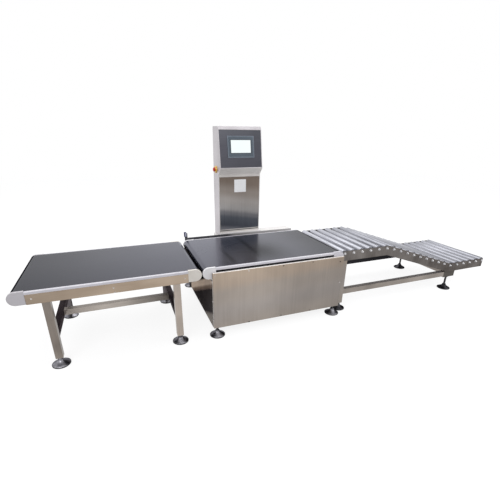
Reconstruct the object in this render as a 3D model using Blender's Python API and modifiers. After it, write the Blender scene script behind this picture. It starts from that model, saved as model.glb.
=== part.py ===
# Checkweigher: infeed belt, weighing belt on a load cell with its cabinet, and a stepped roller outfeed.
# Metres, +Z up. The line runs along +X and is drawn from the cover's left edge, its front face and the floor.
import math

import bmesh
import bpy

# Belt conveyors
belt_top = 0.478
belt_length = 1.000
belt_width = 0.600
belt_thickness = 0.0027
belt_roller_radius = 0.030
line_centre_y = 0.340
weigh_start_overhang = 0.049
weigh_end_overhang = 0.007
belt_gap = 0.015
belt_end_roller_gap = 0.006

# Side frames, edge strips and slider beds
edge_thickness = 0.0145
edge_clearance = 0.001
edge_depth = 0.0155
cap_radius = 0.0375
cap_length = 0.082
side_sheet = 0.003
side_height = 0.057
side_flange = 0.030
bed_sheet = 0.0025
bed_lip_drop = 0.034
bed_edge_gap = 0.004
drum_end_gap = 0.002
shaft_radius = 0.010
shaft_bore_clearance = 0.0006
cap_wall = 0.0035

# Stands and feet
tube = 0.040
tube_wall = 0.002
stand_foot_gap = 0.050
infeed_leg_inset = 0.166
infeed_right_leg_inset = 0.148
infeed_cross_height = 0.166
foot_radius = 0.050
foot_rim = 0.003
foot_chamfer = 0.002
foot_pad_height = 0.007
foot_cone_height = 0.022
foot_collar_radius = 0.0145
foot_collar_height = 0.009
stem_radius = 0.008
stem_clearance = 0.0005
stem_engagement = 0.020

# Weighing base
base_depth = 0.895
base_bottom = 0.069
base_top = 0.452
base_sheet = 0.002
cover_return = 0.018
base_tube = 0.030
base_post_inset_x = 0.015
base_rear_post_inset = 0.010
base_ring_height = 0.100
frame_top = 0.330
side_notch_height = 0.393
rear_deck_y = 0.700
deck_side_margin = 0.010
cell_length = 0.150
cell_width = 0.050
cell_spacer = 0.008
cell_hole_radius = 0.013
cell_hole_offset = 0.024
cell_web = 0.35
tie_height = 0.012
platform_clearance = 0.003

# Rear bar and its photo-eye
rear_bar_height = 0.028
rear_bar_thickness = 0.005
rear_bar_overhang = 0.025
rear_bar_end_inset = 0.045
rear_bar_set_back = 0.004
rear_flange_depth = 0.022
rear_flange_sheet = 0.003
upturn_width = 0.022
upturn_reach = 0.7
sensor_height = 0.038
sensor_width = 0.018
sensor_depth = 0.014
sensor_above_bar = 0.011
sensor_from_end = 0.003
sensor_edge = 0.0025

# Console
column_x = 0.272
column_width = 0.342
column_front_y = 0.750
column_depth = 0.140
column_top = 1.280
chin_height = 0.938
head_bottom = 0.988
head_top = 1.2595
head_forward = 0.045
head_tilt = 0.044
head_top_slant = 0.012
console_sheet = 0.002
plinth_height = 0.028
plinth_margin = 0.015
panel_border = 0.005
head_border = 0.0035
lip_height = 0.0185
panel_foot_border = 0.026
panel_recess = 0.003
screen_width = 0.211
screen_height = 0.156
screen_bezel = 0.007
screen_housing = 0.034
screen_pocket_spare = 0.003
screen_lip = 0.012
screen_edge = 0.003
screen_from_top = 0.1237
window_width = 0.167
window_height = 0.098
window_depth = 0.0012
window_rise = 0.003
stop_height = 0.972
stop_from_rear = 0.068
stop_collar_radius = 0.026
stop_collar_height = 0.007
stop_head_radius = 0.016
stop_head_height = 0.0125
stop_dome = ((0, 0.95), (0.55, 0.90), (0.85, 0.70), (1, 0.45), (1, 0.10), (0.85, 0))
stop_stem_radius = 0.011
stop_stem_clearance = 0.0005
stop_stem_reach = 0.030
stop_spare = 0.0015
stop_travel = 0.004

# Roller outfeed
roller_radius = 0.025
roller_wall = 0.0015
roller_housing = 0.012
roller_pitch = 0.075
roller_count = 21
roller_protrusion = 0.009
roller_below_belt = 0.001
roller_end_gap = 0.004
roller_bore_radius = 0.0065
axle_radius = 0.0058
axle_engagement = 0.016
bolt_head_radius = 0.0065
bolt_head_height = 0.004
rail_height = 0.072
rail_sheet = 0.003
rail_flange = 0.036
rail_overall_width = 0.580
rail_end_margin = 0.0125
first_bend = 0.3985
slope_length = 0.724
slope_drop = 0.228
foot_clearance = 0.002
outfeed_leg_set_in = 0.0135
outfeed_tube_height = 0.122
bracket_length = 0.120
bracket_start = -0.016
bracket_bottom = 0.113
bracket_floor = 0.010

# Fit
touch_gap = 0.0003
overlap = 0.001
cut_margin = 0.020

near, far = -1, 1
round_sides = 16
drum_sides = 24
bolt_sides = 6
arc_steps = 8
smooth_angle = math.radians(35)
across_line = (math.radians(90), 0, 0)
along_line = (0, math.radians(90), 0)

steel = ((0.56, 0.53, 0.49), 1.0, 0.38)
bright_steel = ((0.72, 0.73, 0.74), 1.0, 0.25)
dark_steel = ((0.36, 0.35, 0.34), 1.0, 0.42)
white_plastic = ((0.80, 0.80, 0.82), 0.0, 0.45)
belt_cover = ((0.045, 0.045, 0.055), 0.0, 0.38)
black_plastic = ((0.012, 0.012, 0.014), 0.0, 0.45)
screen_plastic = ((0.05, 0.06, 0.08), 0.0, 0.40)
red_plastic = ((0.62, 0.02, 0.015), 0.0, 0.35)
cell_metal = ((0.66, 0.67, 0.68), 1.0, 0.35)

slope = math.asin(slope_drop / slope_length)
belt_radius = belt_roller_radius + belt_thickness + touch_gap
belt_axis_z = belt_top - belt_radius
weigh_start_x = -weigh_start_overhang
weigh_end_x = weigh_start_x + belt_length
infeed_start_x = weigh_start_x - belt_gap - belt_length
base_length = weigh_end_x - weigh_end_overhang
edge_offset = belt_width / 2 + edge_clearance
side_offset = edge_offset + edge_thickness
platform_top = belt_top - 2 * belt_radius - platform_clearance
platform_bottom = platform_top - tie_height
cap_reach = cap_length - cap_radius + belt_radius + touch_gap
side_bottom = belt_top - edge_depth - touch_gap - side_height
roller_start_x = weigh_end_x + belt_end_roller_gap + roller_radius
rail_top = belt_top - roller_below_belt - roller_protrusion
roller_axis_drop = roller_radius - roller_protrusion
rail_start_x = roller_start_x - rail_end_margin
first_bend_x = roller_start_x + first_bend
second_bend_x = first_bend_x + slope_length * math.cos(slope)
last_roller_s = roller_pitch * (roller_count - 1)
rail_end_x = second_bend_x + last_roller_s + rail_end_margin - first_bend - slope_length
infeed_cap_x = infeed_start_x + belt_radius - cap_radius
last_roller_edge_x = rail_end_x - rail_end_margin + roller_radius
foot_y_near = cover_return + touch_gap + base_tube / 2
base_foot_y_far = base_depth - base_sheet - touch_gap - base_tube / 2 - base_rear_post_inset
base_foot_left_x = base_post_inset_x + base_tube / 2
base_foot_right_x = base_length - base_foot_left_x
infeed_leg_left_x = infeed_start_x + infeed_leg_inset
infeed_leg_right_x = infeed_start_x + belt_length - infeed_right_leg_inset

line_left = infeed_cap_x
line_right = last_roller_edge_x
line_front = foot_y_near - foot_radius
line_rear = max(base_depth, base_foot_y_far + foot_radius)

for old in list(bpy.data.objects):
    bpy.data.objects.remove(old, do_unlink=True)

parts = bpy.data.collections.new("checkweigher")
helpers = bpy.data.collections.new("cutters")
bpy.context.scene.collection.children.link(parts)
bpy.context.scene.collection.children.link(helpers)
helpers.hide_render = True

origin = bpy.data.objects.new("line_origin", None)
origin.location = (-(line_left + line_right) / 2, -(line_front + line_rear) / 2, 0)
parts.objects.link(origin)


def material(name, look):
    colour, metallic, roughness = look
    made = bpy.data.materials.new(name)
    made.use_nodes = True
    surface = made.node_tree.nodes["Principled BSDF"]
    surface.inputs["Base Color"].default_value = (*colour, 1)
    surface.inputs["Metallic"].default_value = metallic
    surface.inputs["Roughness"].default_value = roughness
    made.diffuse_color = (*colour, 1)
    return made


def place(name, mesh, look=None, at=(0, 0, 0), turn=(0, 0, 0), smooth=False):
    """A named sub-part, or a helper when it has no look."""
    obj = bpy.data.objects.new(name, mesh)
    obj.location = at
    obj.rotation_euler = turn
    obj.parent = origin
    if look is None:
        helpers.objects.link(obj)
        obj.hide_render = True
        obj.display_type = "WIRE"
    else:
        parts.objects.link(obj)
        if not mesh.materials:
            mesh.materials.append(material(name + "_finish", look))
    if smooth:
        mesh.shade_smooth()
        mesh.set_sharp_from_angle(angle=smooth_angle)
    return obj


def box_mesh(name, size):
    shape = bmesh.new()
    bmesh.ops.create_cube(shape, size=1)
    bmesh.ops.scale(shape, vec=size, verts=shape.verts)
    mesh = bpy.data.meshes.new(name)
    shape.to_mesh(mesh)
    shape.free()
    return mesh


def box(name, xs, ys, zs, look=None):
    """A block between the two values on each axis."""
    size = [high - low for low, high in (xs, ys, zs)]
    centre = [(low + high) / 2 for low, high in (xs, ys, zs)]
    return place(name, box_mesh(name, size), look, centre)


def tube_core(name, xs, ys, zs, along):
    """The hollow of a square tube: its block less the wall, at full length along one axis."""
    inner = [
        span if axis == along else (span[0] + tube_wall, span[1] - tube_wall)
        for axis, span in enumerate((xs, ys, zs))
    ]
    return box(name + "_core", *inner)


def round_bar(name, radius, length, centre, turn=(0, 0, 0), look=None, sides=round_sides):
    shape = bmesh.new()
    bmesh.ops.create_cone(
        shape, cap_ends=True, segments=sides, radius1=radius, radius2=radius, depth=length
    )
    mesh = bpy.data.meshes.new(name)
    shape.to_mesh(mesh)
    shape.free()
    return place(name, mesh, look, centre, turn, smooth=look is not None)


def turned(name, profile, look=None, at=(0, 0, 0), turn=(0, 0, 0), sides=round_sides, mesh=None):
    """A profile of (radius, height) points, from the top down, turned about its own Z axis.

    One that starts on the axis ends on it too, and any other is a closed loop."""
    if mesh is None:
        drawn = bpy.data.meshes.new(name + "_profile")
        points = [(radius, 0, height) for radius, height in profile]
        edges = [(i, i + 1) for i in range(len(points) - 1)]
        if profile[0][0] > 0:
            edges.append((len(points) - 1, 0))
        drawn.from_pydata(points, edges, [])
        guide = place(name + "_profile", drawn)
        screw = guide.modifiers.new("Turn", "SCREW")
        screw.steps = sides
        screw.render_steps = sides
        screw.use_merge_vertices = True
        screw.merge_threshold = 0.00005
        bpy.context.view_layer.update()
        graph = bpy.context.evaluated_depsgraph_get()
        mesh = bpy.data.meshes.new_from_object(guide.evaluated_get(graph))
        mesh.name = name
        bpy.data.objects.remove(guide, do_unlink=True)
        mesh.shade_smooth()
        mesh.set_sharp_from_angle(angle=smooth_angle)
    return place(name, mesh, look, at, turn)


def arc(centre, radius, start, end, steps=arc_steps):
    """Points on an arc in the X-Z plane, angles in degrees from +X."""
    turn = [math.radians(start + (end - start) * i / steps) for i in range(steps + 1)]
    return [(centre[0] + radius * math.cos(a), centre[1] + radius * math.sin(a)) for a in turn]


def extruded(name, loops, y_low, y_high, look=None):
    """Flat outlines in the X-Z plane, the second and later ones as holes, extruded along Y."""
    curve = bpy.data.curves.new(name, "CURVE")
    curve.dimensions = "2D"
    curve.fill_mode = "BOTH"
    curve.extrude = (y_high - y_low) / 2
    for loop in loops:
        spline = curve.splines.new("POLY")
        spline.points.add(len(loop) - 1)
        for point, (x, z) in zip(spline.points, loop):
            point.co = (x, z, 0, 1)
        spline.use_cyclic_u = True
    drawn = bpy.data.objects.new(name + "_outline", curve)
    bpy.context.scene.collection.objects.link(drawn)
    bpy.context.view_layer.update()
    graph = bpy.context.evaluated_depsgraph_get()
    mesh = bpy.data.meshes.new_from_object(drawn.evaluated_get(graph))
    bpy.data.objects.remove(drawn, do_unlink=True)
    mesh.name = name
    shape = bmesh.new()
    shape.from_mesh(mesh)
    bmesh.ops.remove_doubles(shape, verts=shape.verts, dist=0.00001)
    shape.to_mesh(mesh)
    shape.free()
    mesh.materials.clear()
    return place(name, mesh, look, (0, (y_low + y_high) / 2, 0), across_line)


def combine(obj, operation, others):
    for other in others:
        step = obj.modifiers.new(other.name, "BOOLEAN")
        step.operation = operation
        step.object = other
    return obj


def join(obj, *others):
    return combine(obj, "UNION", others)


def cut(obj, *others):
    return combine(obj, "DIFFERENCE", others)


def sheet(name, grid, thickness, look=None, mirror_y=None, offset=-1):
    """A bent sheet: rows of points as one open surface, given its thickness, mirrored in Y if asked."""
    shape = bmesh.new()
    rows = [[shape.verts.new(point) for point in row] for row in grid]
    for row, following in zip(rows, rows[1:]):
        for i in range(len(row) - 1):
            shape.faces.new((row[i], row[i + 1], following[i + 1], following[i]))
    mesh = bpy.data.meshes.new(name)
    shape.to_mesh(mesh)
    shape.free()
    obj = place(name, mesh, look)
    if mirror_y is not None:
        plane = bpy.data.objects.new(name + "_middle", None)
        plane.location = (0, mirror_y, 0)
        plane.parent = origin
        helpers.objects.link(plane)
        mirror = obj.modifiers.new("Mirror", "MIRROR")
        mirror.use_axis = (False, True, False)
        mirror.mirror_object = plane
        mirror.merge_threshold = 0.00005
    solid = obj.modifiers.new("Sheet", "SOLIDIFY")
    solid.thickness = thickness
    solid.offset = offset
    solid.use_even_offset = True
    return obj


def belt(name, start_x, look):
    """A closed loop round its two rollers."""
    left = (start_x + belt_radius, belt_axis_z)
    right = (start_x + belt_length - belt_radius, belt_axis_z)

    def loop(radius):
        steps = drum_sides // 2
        return arc(left, radius, 90, 270, steps) + arc(right, radius, -90, 90, steps)

    inner = belt_roller_radius + touch_gap
    ys = (line_centre_y - belt_width / 2, line_centre_y + belt_width / 2)
    return extruded(name, [loop(belt_radius), loop(inner)], *ys, look)


def belt_roller(name, start_x, at_end, look):
    """A drum with a shaft stub at each end, turning about Y."""
    x = start_x + (belt_length - belt_radius if at_end else belt_radius)
    drum = belt_width / 2 - drum_end_gap
    reach = side_offset - cap_wall - touch_gap
    profile = [
        (0, reach),
        (shaft_radius, reach),
        (shaft_radius, drum),
        (belt_roller_radius, drum),
        (belt_roller_radius, -drum),
        (shaft_radius, -drum),
        (shaft_radius, -reach),
        (0, -reach),
    ]
    return turned(name, profile, look, (x, line_centre_y, belt_axis_z), across_line, drum_sides)


def edge_rail(name, start_x, side, look):
    """The edge strip along the belt, with a round bearing housing at each end."""
    left = (start_x + belt_radius, belt_axis_z)
    right = (start_x + belt_length - belt_radius, belt_axis_z)
    top = belt_axis_z + cap_radius
    low = belt_axis_z - cap_radius
    strip = belt_top - edge_depth
    left_shoulder = left[0] - cap_radius + cap_length
    right_shoulder = right[0] + cap_radius - cap_length
    outline = arc(left, cap_radius, 90, 270)
    outline += [(left_shoulder, low), (left_shoulder, strip), (right_shoulder, strip), (right_shoulder, low)]
    outline += arc(right, cap_radius, -90, 90)
    outline += [(right_shoulder, top), (right_shoulder, belt_top)]
    outline += [(left_shoulder, belt_top), (left_shoulder, top)]
    ends = sorted(line_centre_y + side * y for y in (edge_offset, side_offset))
    rail = extruded(name, [outline], *ends, look)
    depth = edge_thickness - cap_wall
    middle = line_centre_y + side * (edge_offset + depth / 2 - overlap / 2)
    bores = [
        round_bar(
            f"{name}_bore_{i}",
            shaft_radius + shaft_bore_clearance,
            depth + overlap,
            (x, middle, belt_axis_z),
            across_line,
            sides=drum_sides,
        )
        for i, (x, _) in enumerate((left, right))
    ]
    return cut(rail, *bores)


def side_plate(name, start_x, side, look):
    """The side sheet under the edge strip, with its lower flange turned in under the belt."""
    xs = (start_x + cap_reach, start_x + belt_length - cap_reach)
    outer = line_centre_y + side * side_offset
    inner = outer - side * side_flange
    top = side_bottom + side_height
    section = [(outer, top), (outer, side_bottom), (inner, side_bottom)]
    rows = [[(x, y, z) for y, z in section] for x in (xs if side == near else xs[::-1])]
    return sheet(name, rows, side_sheet, look)


def slider_bed(name, start_x, look, side_gap=touch_gap):
    """The plate that carries the belt: a hat section between the rollers, mirrored about the line."""
    top = belt_top - belt_thickness - 2 * touch_gap
    lip = top - bed_lip_drop
    inside = belt_width / 2 - bed_edge_gap
    out = side_offset - side_sheet - side_gap
    section = [(0, top), (inside, top), (inside, lip), (out, lip)]
    xs = (start_x + cap_reach, start_x + belt_length - cap_reach)
    rows = [[(x, line_centre_y - y, z) for y, z in section] for x in xs]
    return sheet(name, rows, bed_sheet, look, mirror_y=line_centre_y)


def foot(name, x, y, seat, look):
    """A levelling foot: pad, cone and threaded stem that enters the leg by the engagement."""
    cone_top = foot_pad_height + foot_cone_height
    collar_top = cone_top + foot_collar_height
    profile = [
        (0, seat + stem_engagement),
        (stem_radius, seat + stem_engagement),
        (stem_radius, collar_top),
        (foot_collar_radius, collar_top),
        (foot_collar_radius, cone_top),
        (foot_radius - foot_rim, foot_pad_height),
        (foot_radius, foot_pad_height - foot_chamfer),
        (foot_radius, 0),
        (0, 0),
    ]
    return turned(name, profile, look, (x, y, 0))


def stem_bore(name, x, y, seat):
    depth = stem_engagement + touch_gap + overlap
    return round_bar(name, stem_radius + stem_clearance, depth, (x, y, seat + depth / 2 - overlap))


def mirrored_y(y):
    return 2 * line_centre_y - y


def infeed():
    belt("infeed_belt", infeed_start_x, belt_cover)
    slider_bed("infeed_bed", infeed_start_x, steel)
    belt_roller("infeed_tail_roller", infeed_start_x, False, bright_steel)
    belt_roller("infeed_drive_roller", infeed_start_x, True, bright_steel)
    for side, word in ((near, "near"), (far, "far")):
        edge_rail(f"infeed_edge_{word}", infeed_start_x, side, white_plastic)
        side_plate(f"infeed_side_{word}", infeed_start_x, side, steel)
    infeed_stand()


def infeed_stand():
    """Four upright tubes, a cross member at each end and one stretcher, welded."""
    half = tube / 2
    seat = side_bottom - touch_gap
    near_y = line_centre_y - side_offset + half
    leg_xs = (infeed_leg_left_x, infeed_leg_right_x)
    leg_ys = (near_y, mirrored_y(near_y))
    cross_zs = (infeed_cross_height, infeed_cross_height + tube)
    core_zs = (stand_foot_gap + stem_engagement, seat - tube_wall)
    inset = overlap * 2
    legs = []
    crosses = []
    cores = []
    bores = []
    for i, x in enumerate(leg_xs):
        for k, y in enumerate(leg_ys):
            leg = (f"infeed_leg_{i}{k}", (x - half, x + half), (y - half, y + half))
            legs.append(leg)
            cores.append(tube_core(*leg, core_zs, 2))
            name = f"infeed_foot_{2 * i + k + 1}"
            foot(name, x, y, stand_foot_gap, dark_steel)
            bores.append(stem_bore(name + "_bore", x, y, stand_foot_gap))
        cross = (f"infeed_cross_{i}", (x - half + inset, x + half - inset), leg_ys, cross_zs)
        crosses.append(box(*cross))
        cores.append(tube_core(*cross, 1))
    stretcher_ys = (line_centre_y - half, line_centre_y + half)
    stretcher = ("infeed_stretcher", leg_xs, stretcher_ys, (cross_zs[0] + inset, cross_zs[1] - inset))
    crosses.append(box(*stretcher))
    cores.append(tube_core(*stretcher, 0))
    _, first_xs, first_ys = legs[0]
    stand = box("infeed_stand", first_xs, first_ys, (stand_foot_gap, seat), steel)
    others = [box(name, xs, ys, (stand_foot_gap, seat)) for name, xs, ys in legs[1:]]
    join(stand, crosses[0], others[0], crosses[2], crosses[1], *others[1:])
    cut(stand, *cores, *bores)


def weigh_conveyor():
    belt("weigh_belt", weigh_start_x, belt_cover)
    belt_roller("weigh_tail_roller", weigh_start_x, False, bright_steel)
    belt_roller("weigh_drive_roller", weigh_start_x, True, bright_steel)
    for side, word in ((near, "near"), (far, "far")):
        edge_rail(f"weigh_edge_{word}", weigh_start_x, side, white_plastic)
    weigh_frame()


def weigh_frame():
    """Slider bed, both side sheets, two ties under the belt and the plate on the load cell."""
    frame = slider_bed("weigh_frame", weigh_start_x, steel, side_gap=-overlap)
    xs = (weigh_start_x + cap_reach, weigh_start_x + belt_length - cap_reach)
    top = side_bottom + side_height
    pieces = []
    for side, word in ((near, "near"), (far, "far")):
        ys = sorted(line_centre_y + side * (side_offset - d) for d in (0, side_sheet))
        pieces.append(box(f"weigh_side_{word}", xs, ys, (platform_bottom, top)))
    middle_x = weigh_start_x + belt_length / 2
    reach = side_offset - side_sheet + overlap
    for i, x in enumerate((middle_x - cell_length, middle_x + cell_length)):
        span = (x - tube / 2, x + tube / 2)
        ys = (line_centre_y - reach, line_centre_y + reach)
        pieces.append(box(f"weigh_tie_{i}", span, ys, (platform_bottom, platform_top)))
    plate_xs = (middle_x - cell_length - overlap, middle_x + cell_length + overlap)
    plate_ys = (line_centre_y - cell_width, line_centre_y + cell_width)
    pieces.append(box("weigh_plate", plate_xs, plate_ys, (platform_bottom, platform_top - overlap)))
    return join(frame, *pieces)


def load_cell():
    """A single-point cell: a bar with a double hole, a spacer below one end and above the other."""
    middle_x = weigh_start_x + belt_length / 2
    low = frame_top + touch_gap
    high = platform_bottom - touch_gap
    bottom = low + cell_spacer
    top = high - cell_spacer
    left = middle_x - cell_length / 2
    right = middle_x + cell_length / 2
    foot_length = cell_length / 4
    web = math.degrees(math.asin(cell_web))
    outline = [
        (left, low),
        (left + foot_length, low),
        (left + foot_length, bottom),
        (right, bottom),
        (right, high),
        (right - foot_length, high),
        (right - foot_length, top),
        (left, top),
    ]
    z = (bottom + top) / 2
    hole = arc((middle_x - cell_hole_offset, z), cell_hole_radius, web, 360 - web)
    hole += arc((middle_x + cell_hole_offset, z), cell_hole_radius, 180 + web, 540 - web)
    ys = (line_centre_y - cell_width / 2, line_centre_y + cell_width / 2)
    extruded("load_cell", [outline, hole], *ys, cell_metal)


def base():
    base_cover()
    base_body()
    base_frame()


def base_cover():
    """The front sheet, with a return turned back along each of its four edges."""
    shape = bmesh.new()
    bmesh.ops.create_cube(shape, size=1)
    size = (base_length, cover_return, base_top - base_bottom)
    bmesh.ops.scale(shape, vec=size, verts=shape.verts)
    rear = [face for face in shape.faces if face.normal.y > 0.5]
    bmesh.ops.delete(shape, geom=rear, context="FACES_ONLY")
    mesh = bpy.data.meshes.new("base_cover")
    shape.to_mesh(mesh)
    shape.free()
    at = (base_length / 2, cover_return / 2, (base_top + base_bottom) / 2)
    cover = place("base_cover", mesh, steel, at)
    solid = cover.modifiers.new("Sheet", "SOLIDIFY")
    solid.thickness = base_sheet
    solid.offset = -1
    solid.use_even_offset = True
    return cover


def base_body():
    """Left, rear and right panels, open below and in front, with a deck at the rear.

    The deck carries the console and the rear bar, and drops to the side notch left of the console."""
    front = cover_return + touch_gap
    shape = bmesh.new()
    bmesh.ops.create_cube(shape, size=1)
    size = (base_length, base_depth - front, base_top - base_bottom)
    bmesh.ops.scale(shape, vec=size, verts=shape.verts)
    gone = [face for face in shape.faces if face.normal.y < -0.5 or face.normal.z < -0.5]
    bmesh.ops.delete(shape, geom=gone, context="FACES_ONLY")
    mesh = bpy.data.meshes.new("base_body")
    shape.to_mesh(mesh)
    shape.free()
    at = (base_length / 2, (front + base_depth) / 2, (base_top + base_bottom) / 2)
    body = place("base_body", mesh, steel, at)
    solid = body.modifiers.new("Sheet", "SOLIDIFY")
    solid.thickness = base_sheet
    solid.offset = -1
    solid.use_even_offset = True
    notch = box(
        "base_notch",
        (-cut_margin, base_length + cut_margin),
        (front - cut_margin, rear_deck_y),
        (side_notch_height, base_top + cut_margin),
    )
    deck_start = column_x - deck_side_margin
    left_notch = box(
        "base_left_notch",
        (-cut_margin, deck_start),
        (front, base_depth + cut_margin),
        (side_notch_height, base_top + 2 * cut_margin),
    )
    low_top = side_notch_height - overlap
    low_bottom = low_top - base_sheet
    ys = (rear_deck_y, base_depth - overlap)
    riser_xs = (deck_start + overlap, deck_start + overlap + base_sheet)
    low_deck = box("base_low_deck", (overlap, riser_xs[1] - overlap / 2), ys, (low_bottom, low_top))
    riser_ys = (ys[0] + overlap, ys[1] - overlap / 2)
    riser = box("base_riser", riser_xs, riser_ys, (low_bottom + overlap / 2, base_top - overlap))
    cut(body, notch, left_notch)
    return join(body, low_deck, riser)


def base_frame():
    """A welded tube frame: four posts, a lower and an upper ring and the beams under the load cell."""
    half = base_tube / 2
    low = base_bottom + base_sheet + touch_gap
    post_xs = (base_foot_left_x, base_foot_right_x)
    post_ys = (foot_y_near, base_foot_y_far)
    step = overlap
    posts = []
    cores = []
    bores = []
    for i, x in enumerate(post_xs):
        for k, y in enumerate(post_ys):
            post = (f"base_post_{i}{k}", (x - half, x + half), (y - half, y + half))
            posts.append((*post, (low, frame_top)))
            cores.append(tube_core(*post, (low + stem_engagement, frame_top - tube_wall), 2))
            name = f"base_foot_{2 * i + k + 1}"
            foot(name, x, y, low, dark_steel)
            bores.append(stem_bore(name + "_bore", x, y, low))
    rings = []
    for level, z in enumerate((base_ring_height, frame_top - base_tube)):
        zs = (z + step, z + base_tube - step)
        zs_long = (z + 2 * step, z + base_tube - 2 * step)
        for i, x in enumerate(post_xs):
            side = (f"base_side_{level}{i}", (x - half + step, x + half - step), post_ys, zs)
            rings.append(box(*side))
            cores.append(tube_core(*side, 1))
        for k, y in enumerate(post_ys):
            long = (f"base_long_{level}{k}", post_xs, (y - half + step, y + half - step), zs_long)
            rings.append(box(*long))
            cores.append(tube_core(*long, 0))
    cell_ys = (line_centre_y - cell_width / 2, line_centre_y + cell_width / 2)
    beam = ("base_beam", post_xs, cell_ys, (frame_top - base_tube + 3 * step, frame_top))
    cores.append(tube_core(*beam, 0))
    _, xs, ys, zs = posts[0]
    frame = box("base_frame", xs, ys, zs, dark_steel)
    others = [box(*post) for post in posts[1:]]
    join(frame, *rings[:3], *others, *rings[3:], box(*beam))
    cut(frame, *cores, *bores)


def rear_guide():
    """The bar along the rear deck's front edge, with a photo-eye on its upturned end."""
    low = base_top + touch_gap
    top = low + rear_bar_height
    xs = (-rear_bar_overhang, base_length - rear_bar_end_inset)
    front = rear_deck_y + rear_bar_set_back
    bar = box("rear_bar", xs, (front, front + rear_bar_thickness), (low, top), bright_steel)
    flange = box(
        "rear_bar_flange",
        (column_x, xs[1] - rear_bar_thickness),
        (front, front + rear_flange_depth),
        (low, low + rear_flange_sheet),
    )
    upturn = box(
        "rear_bar_upturn",
        (xs[0], xs[0] + upturn_width),
        (front, front + rear_flange_sheet),
        (top - overlap, top + sensor_above_bar + sensor_height * upturn_reach),
    )
    join(bar, flange, upturn)
    eye_rear = front - touch_gap
    eye_bottom = top + sensor_above_bar
    sensor_x = xs[0] + sensor_from_end
    eye = box(
        "rear_sensor",
        (sensor_x - sensor_width / 2, sensor_x + sensor_width / 2),
        (eye_rear - sensor_depth, eye_rear),
        (eye_bottom, eye_bottom + sensor_height),
        black_plastic,
    )
    round_edges = eye.modifiers.new("Round", "BEVEL")
    round_edges.width = sensor_edge
    round_edges.segments = 2
    round_edges.limit_method = "ANGLE"


def head_point(from_top, outward=0.0):
    """A point (y, z) on the inclined face of the head, at a distance below its top edge."""
    length = math.hypot(head_tilt, head_top - head_bottom)
    down_y = -head_tilt / length
    down_z = -(head_top - head_bottom) / length
    top_y = column_front_y - head_forward + head_tilt
    return (top_y + down_y * from_top + down_z * outward, head_top + down_z * from_top - down_y * outward)


def console_block(name, front_inset, inset, bottom, look=None):
    """The cabinet's side outline across its width, inset by one wall in front and another elsewhere."""
    rear = column_front_y + column_depth - inset
    front = column_front_y + front_inset
    top = column_top - inset
    tilt_top = head_point(0, -front_inset)
    tilt_bottom = head_point(math.hypot(head_tilt, head_top - head_bottom), -front_inset)
    profile = [
        (front, bottom),
        (front, chin_height),
        tilt_bottom,
        tilt_top,
        (tilt_top[0] + head_top_slant, top),
        (rear, top),
        (rear, bottom),
    ]
    block = extruded(name, [profile], 0, column_width - 2 * inset, look)
    block.rotation_euler = (math.radians(90), 0, math.radians(90))
    block.location = (column_x + column_width / 2, 0, 0)
    return block


def console():
    """The cabinet of folded sheet: plinth, upright and inclined head, with recessed front panels."""
    bottom = base_top + touch_gap
    rear = column_front_y + column_depth
    xs = (column_x, column_x + column_width)
    column = console_block("console_column", 0, 0, bottom + plinth_height - overlap, steel)
    core = console_block("console_core", panel_recess + console_sheet, console_sheet, bottom + console_sheet)
    plinth = box(
        "console_plinth",
        (xs[0], xs[1] + plinth_margin),
        (column_front_y - plinth_margin, rear),
        (bottom, bottom + plinth_height),
    )
    border_xs = (xs[0] + panel_border, xs[1] - panel_border)
    lower = box(
        "console_panel_cut",
        border_xs,
        (column_front_y - cut_margin, column_front_y + panel_recess),
        (bottom + plinth_height + panel_foot_border, chin_height - lip_height),
    )
    collar_y = rear - stop_from_rear
    collar = round_bar(
        "stop_collar",
        stop_collar_radius,
        stop_collar_height + overlap,
        (column_x - (stop_collar_height - overlap) / 2, collar_y, stop_height),
        along_line,
        sides=drum_sides,
    )
    stop_bore = round_bar(
        "stop_bore",
        stop_stem_radius + stop_stem_clearance,
        2 * cut_margin,
        (column_x, collar_y, stop_height),
        along_line,
        sides=drum_sides,
    )
    join(column, plinth, collar)
    cut(column, core, lower, head_panel_cut(border_xs), screen_pocket(), stop_bore)
    screen()
    emergency_stop(collar_y)


def tilted_box(name, centre_from_top, outward, size, look=None):
    """A block square to the head's inclined face: size is (x, depth, along the face)."""
    y, z = head_point(centre_from_top, outward)
    lean = math.atan2(head_tilt, head_top - head_bottom)
    obj = place(name, box_mesh(name, size), look, (column_x + column_width / 2, y, z))
    obj.rotation_euler = (-lean, 0, 0)
    return obj


def head_panel_cut(border_xs):
    length = math.hypot(head_tilt, head_top - head_bottom)
    size = (border_xs[1] - border_xs[0], 2 * cut_margin, length - 2 * head_border)
    return tilted_box("console_head_cut", length / 2, cut_margin - panel_recess, size)


def screen_pocket():
    size = (
        screen_width - 2 * screen_lip + 2 * touch_gap,
        2 * (screen_housing + screen_pocket_spare),
        screen_height - 2 * screen_lip + 2 * touch_gap,
    )
    return tilted_box("screen_pocket", screen_from_top, 0, size)


def screen():
    """The operator panel: a bevelled bezel over a housing that fills the pocket."""
    face = screen_bezel - panel_recess
    bezel_depth = screen_bezel - touch_gap
    bezel = tilted_box(
        "console_screen",
        screen_from_top,
        face - bezel_depth / 2,
        (screen_width, bezel_depth, screen_height),
        screen_plastic,
    )
    edges = bezel.modifiers.new("Bezel", "BEVEL")
    edges.width = screen_edge
    edges.segments = 2
    edges.limit_method = "ANGLE"
    housing_size = (
        screen_width - 2 * screen_lip,
        screen_housing,
        screen_height - 2 * screen_lip,
    )
    housing = tilted_box(
        "screen_housing", screen_from_top, face - bezel_depth + overlap - screen_housing / 2, housing_size
    )
    window_size = (window_width, 2 * cut_margin, window_height)
    window_out = face - window_depth + cut_margin
    window = tilted_box("screen_window", screen_from_top - window_rise, window_out, window_size)
    join(bezel, housing)
    cut(bezel, window)


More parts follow.
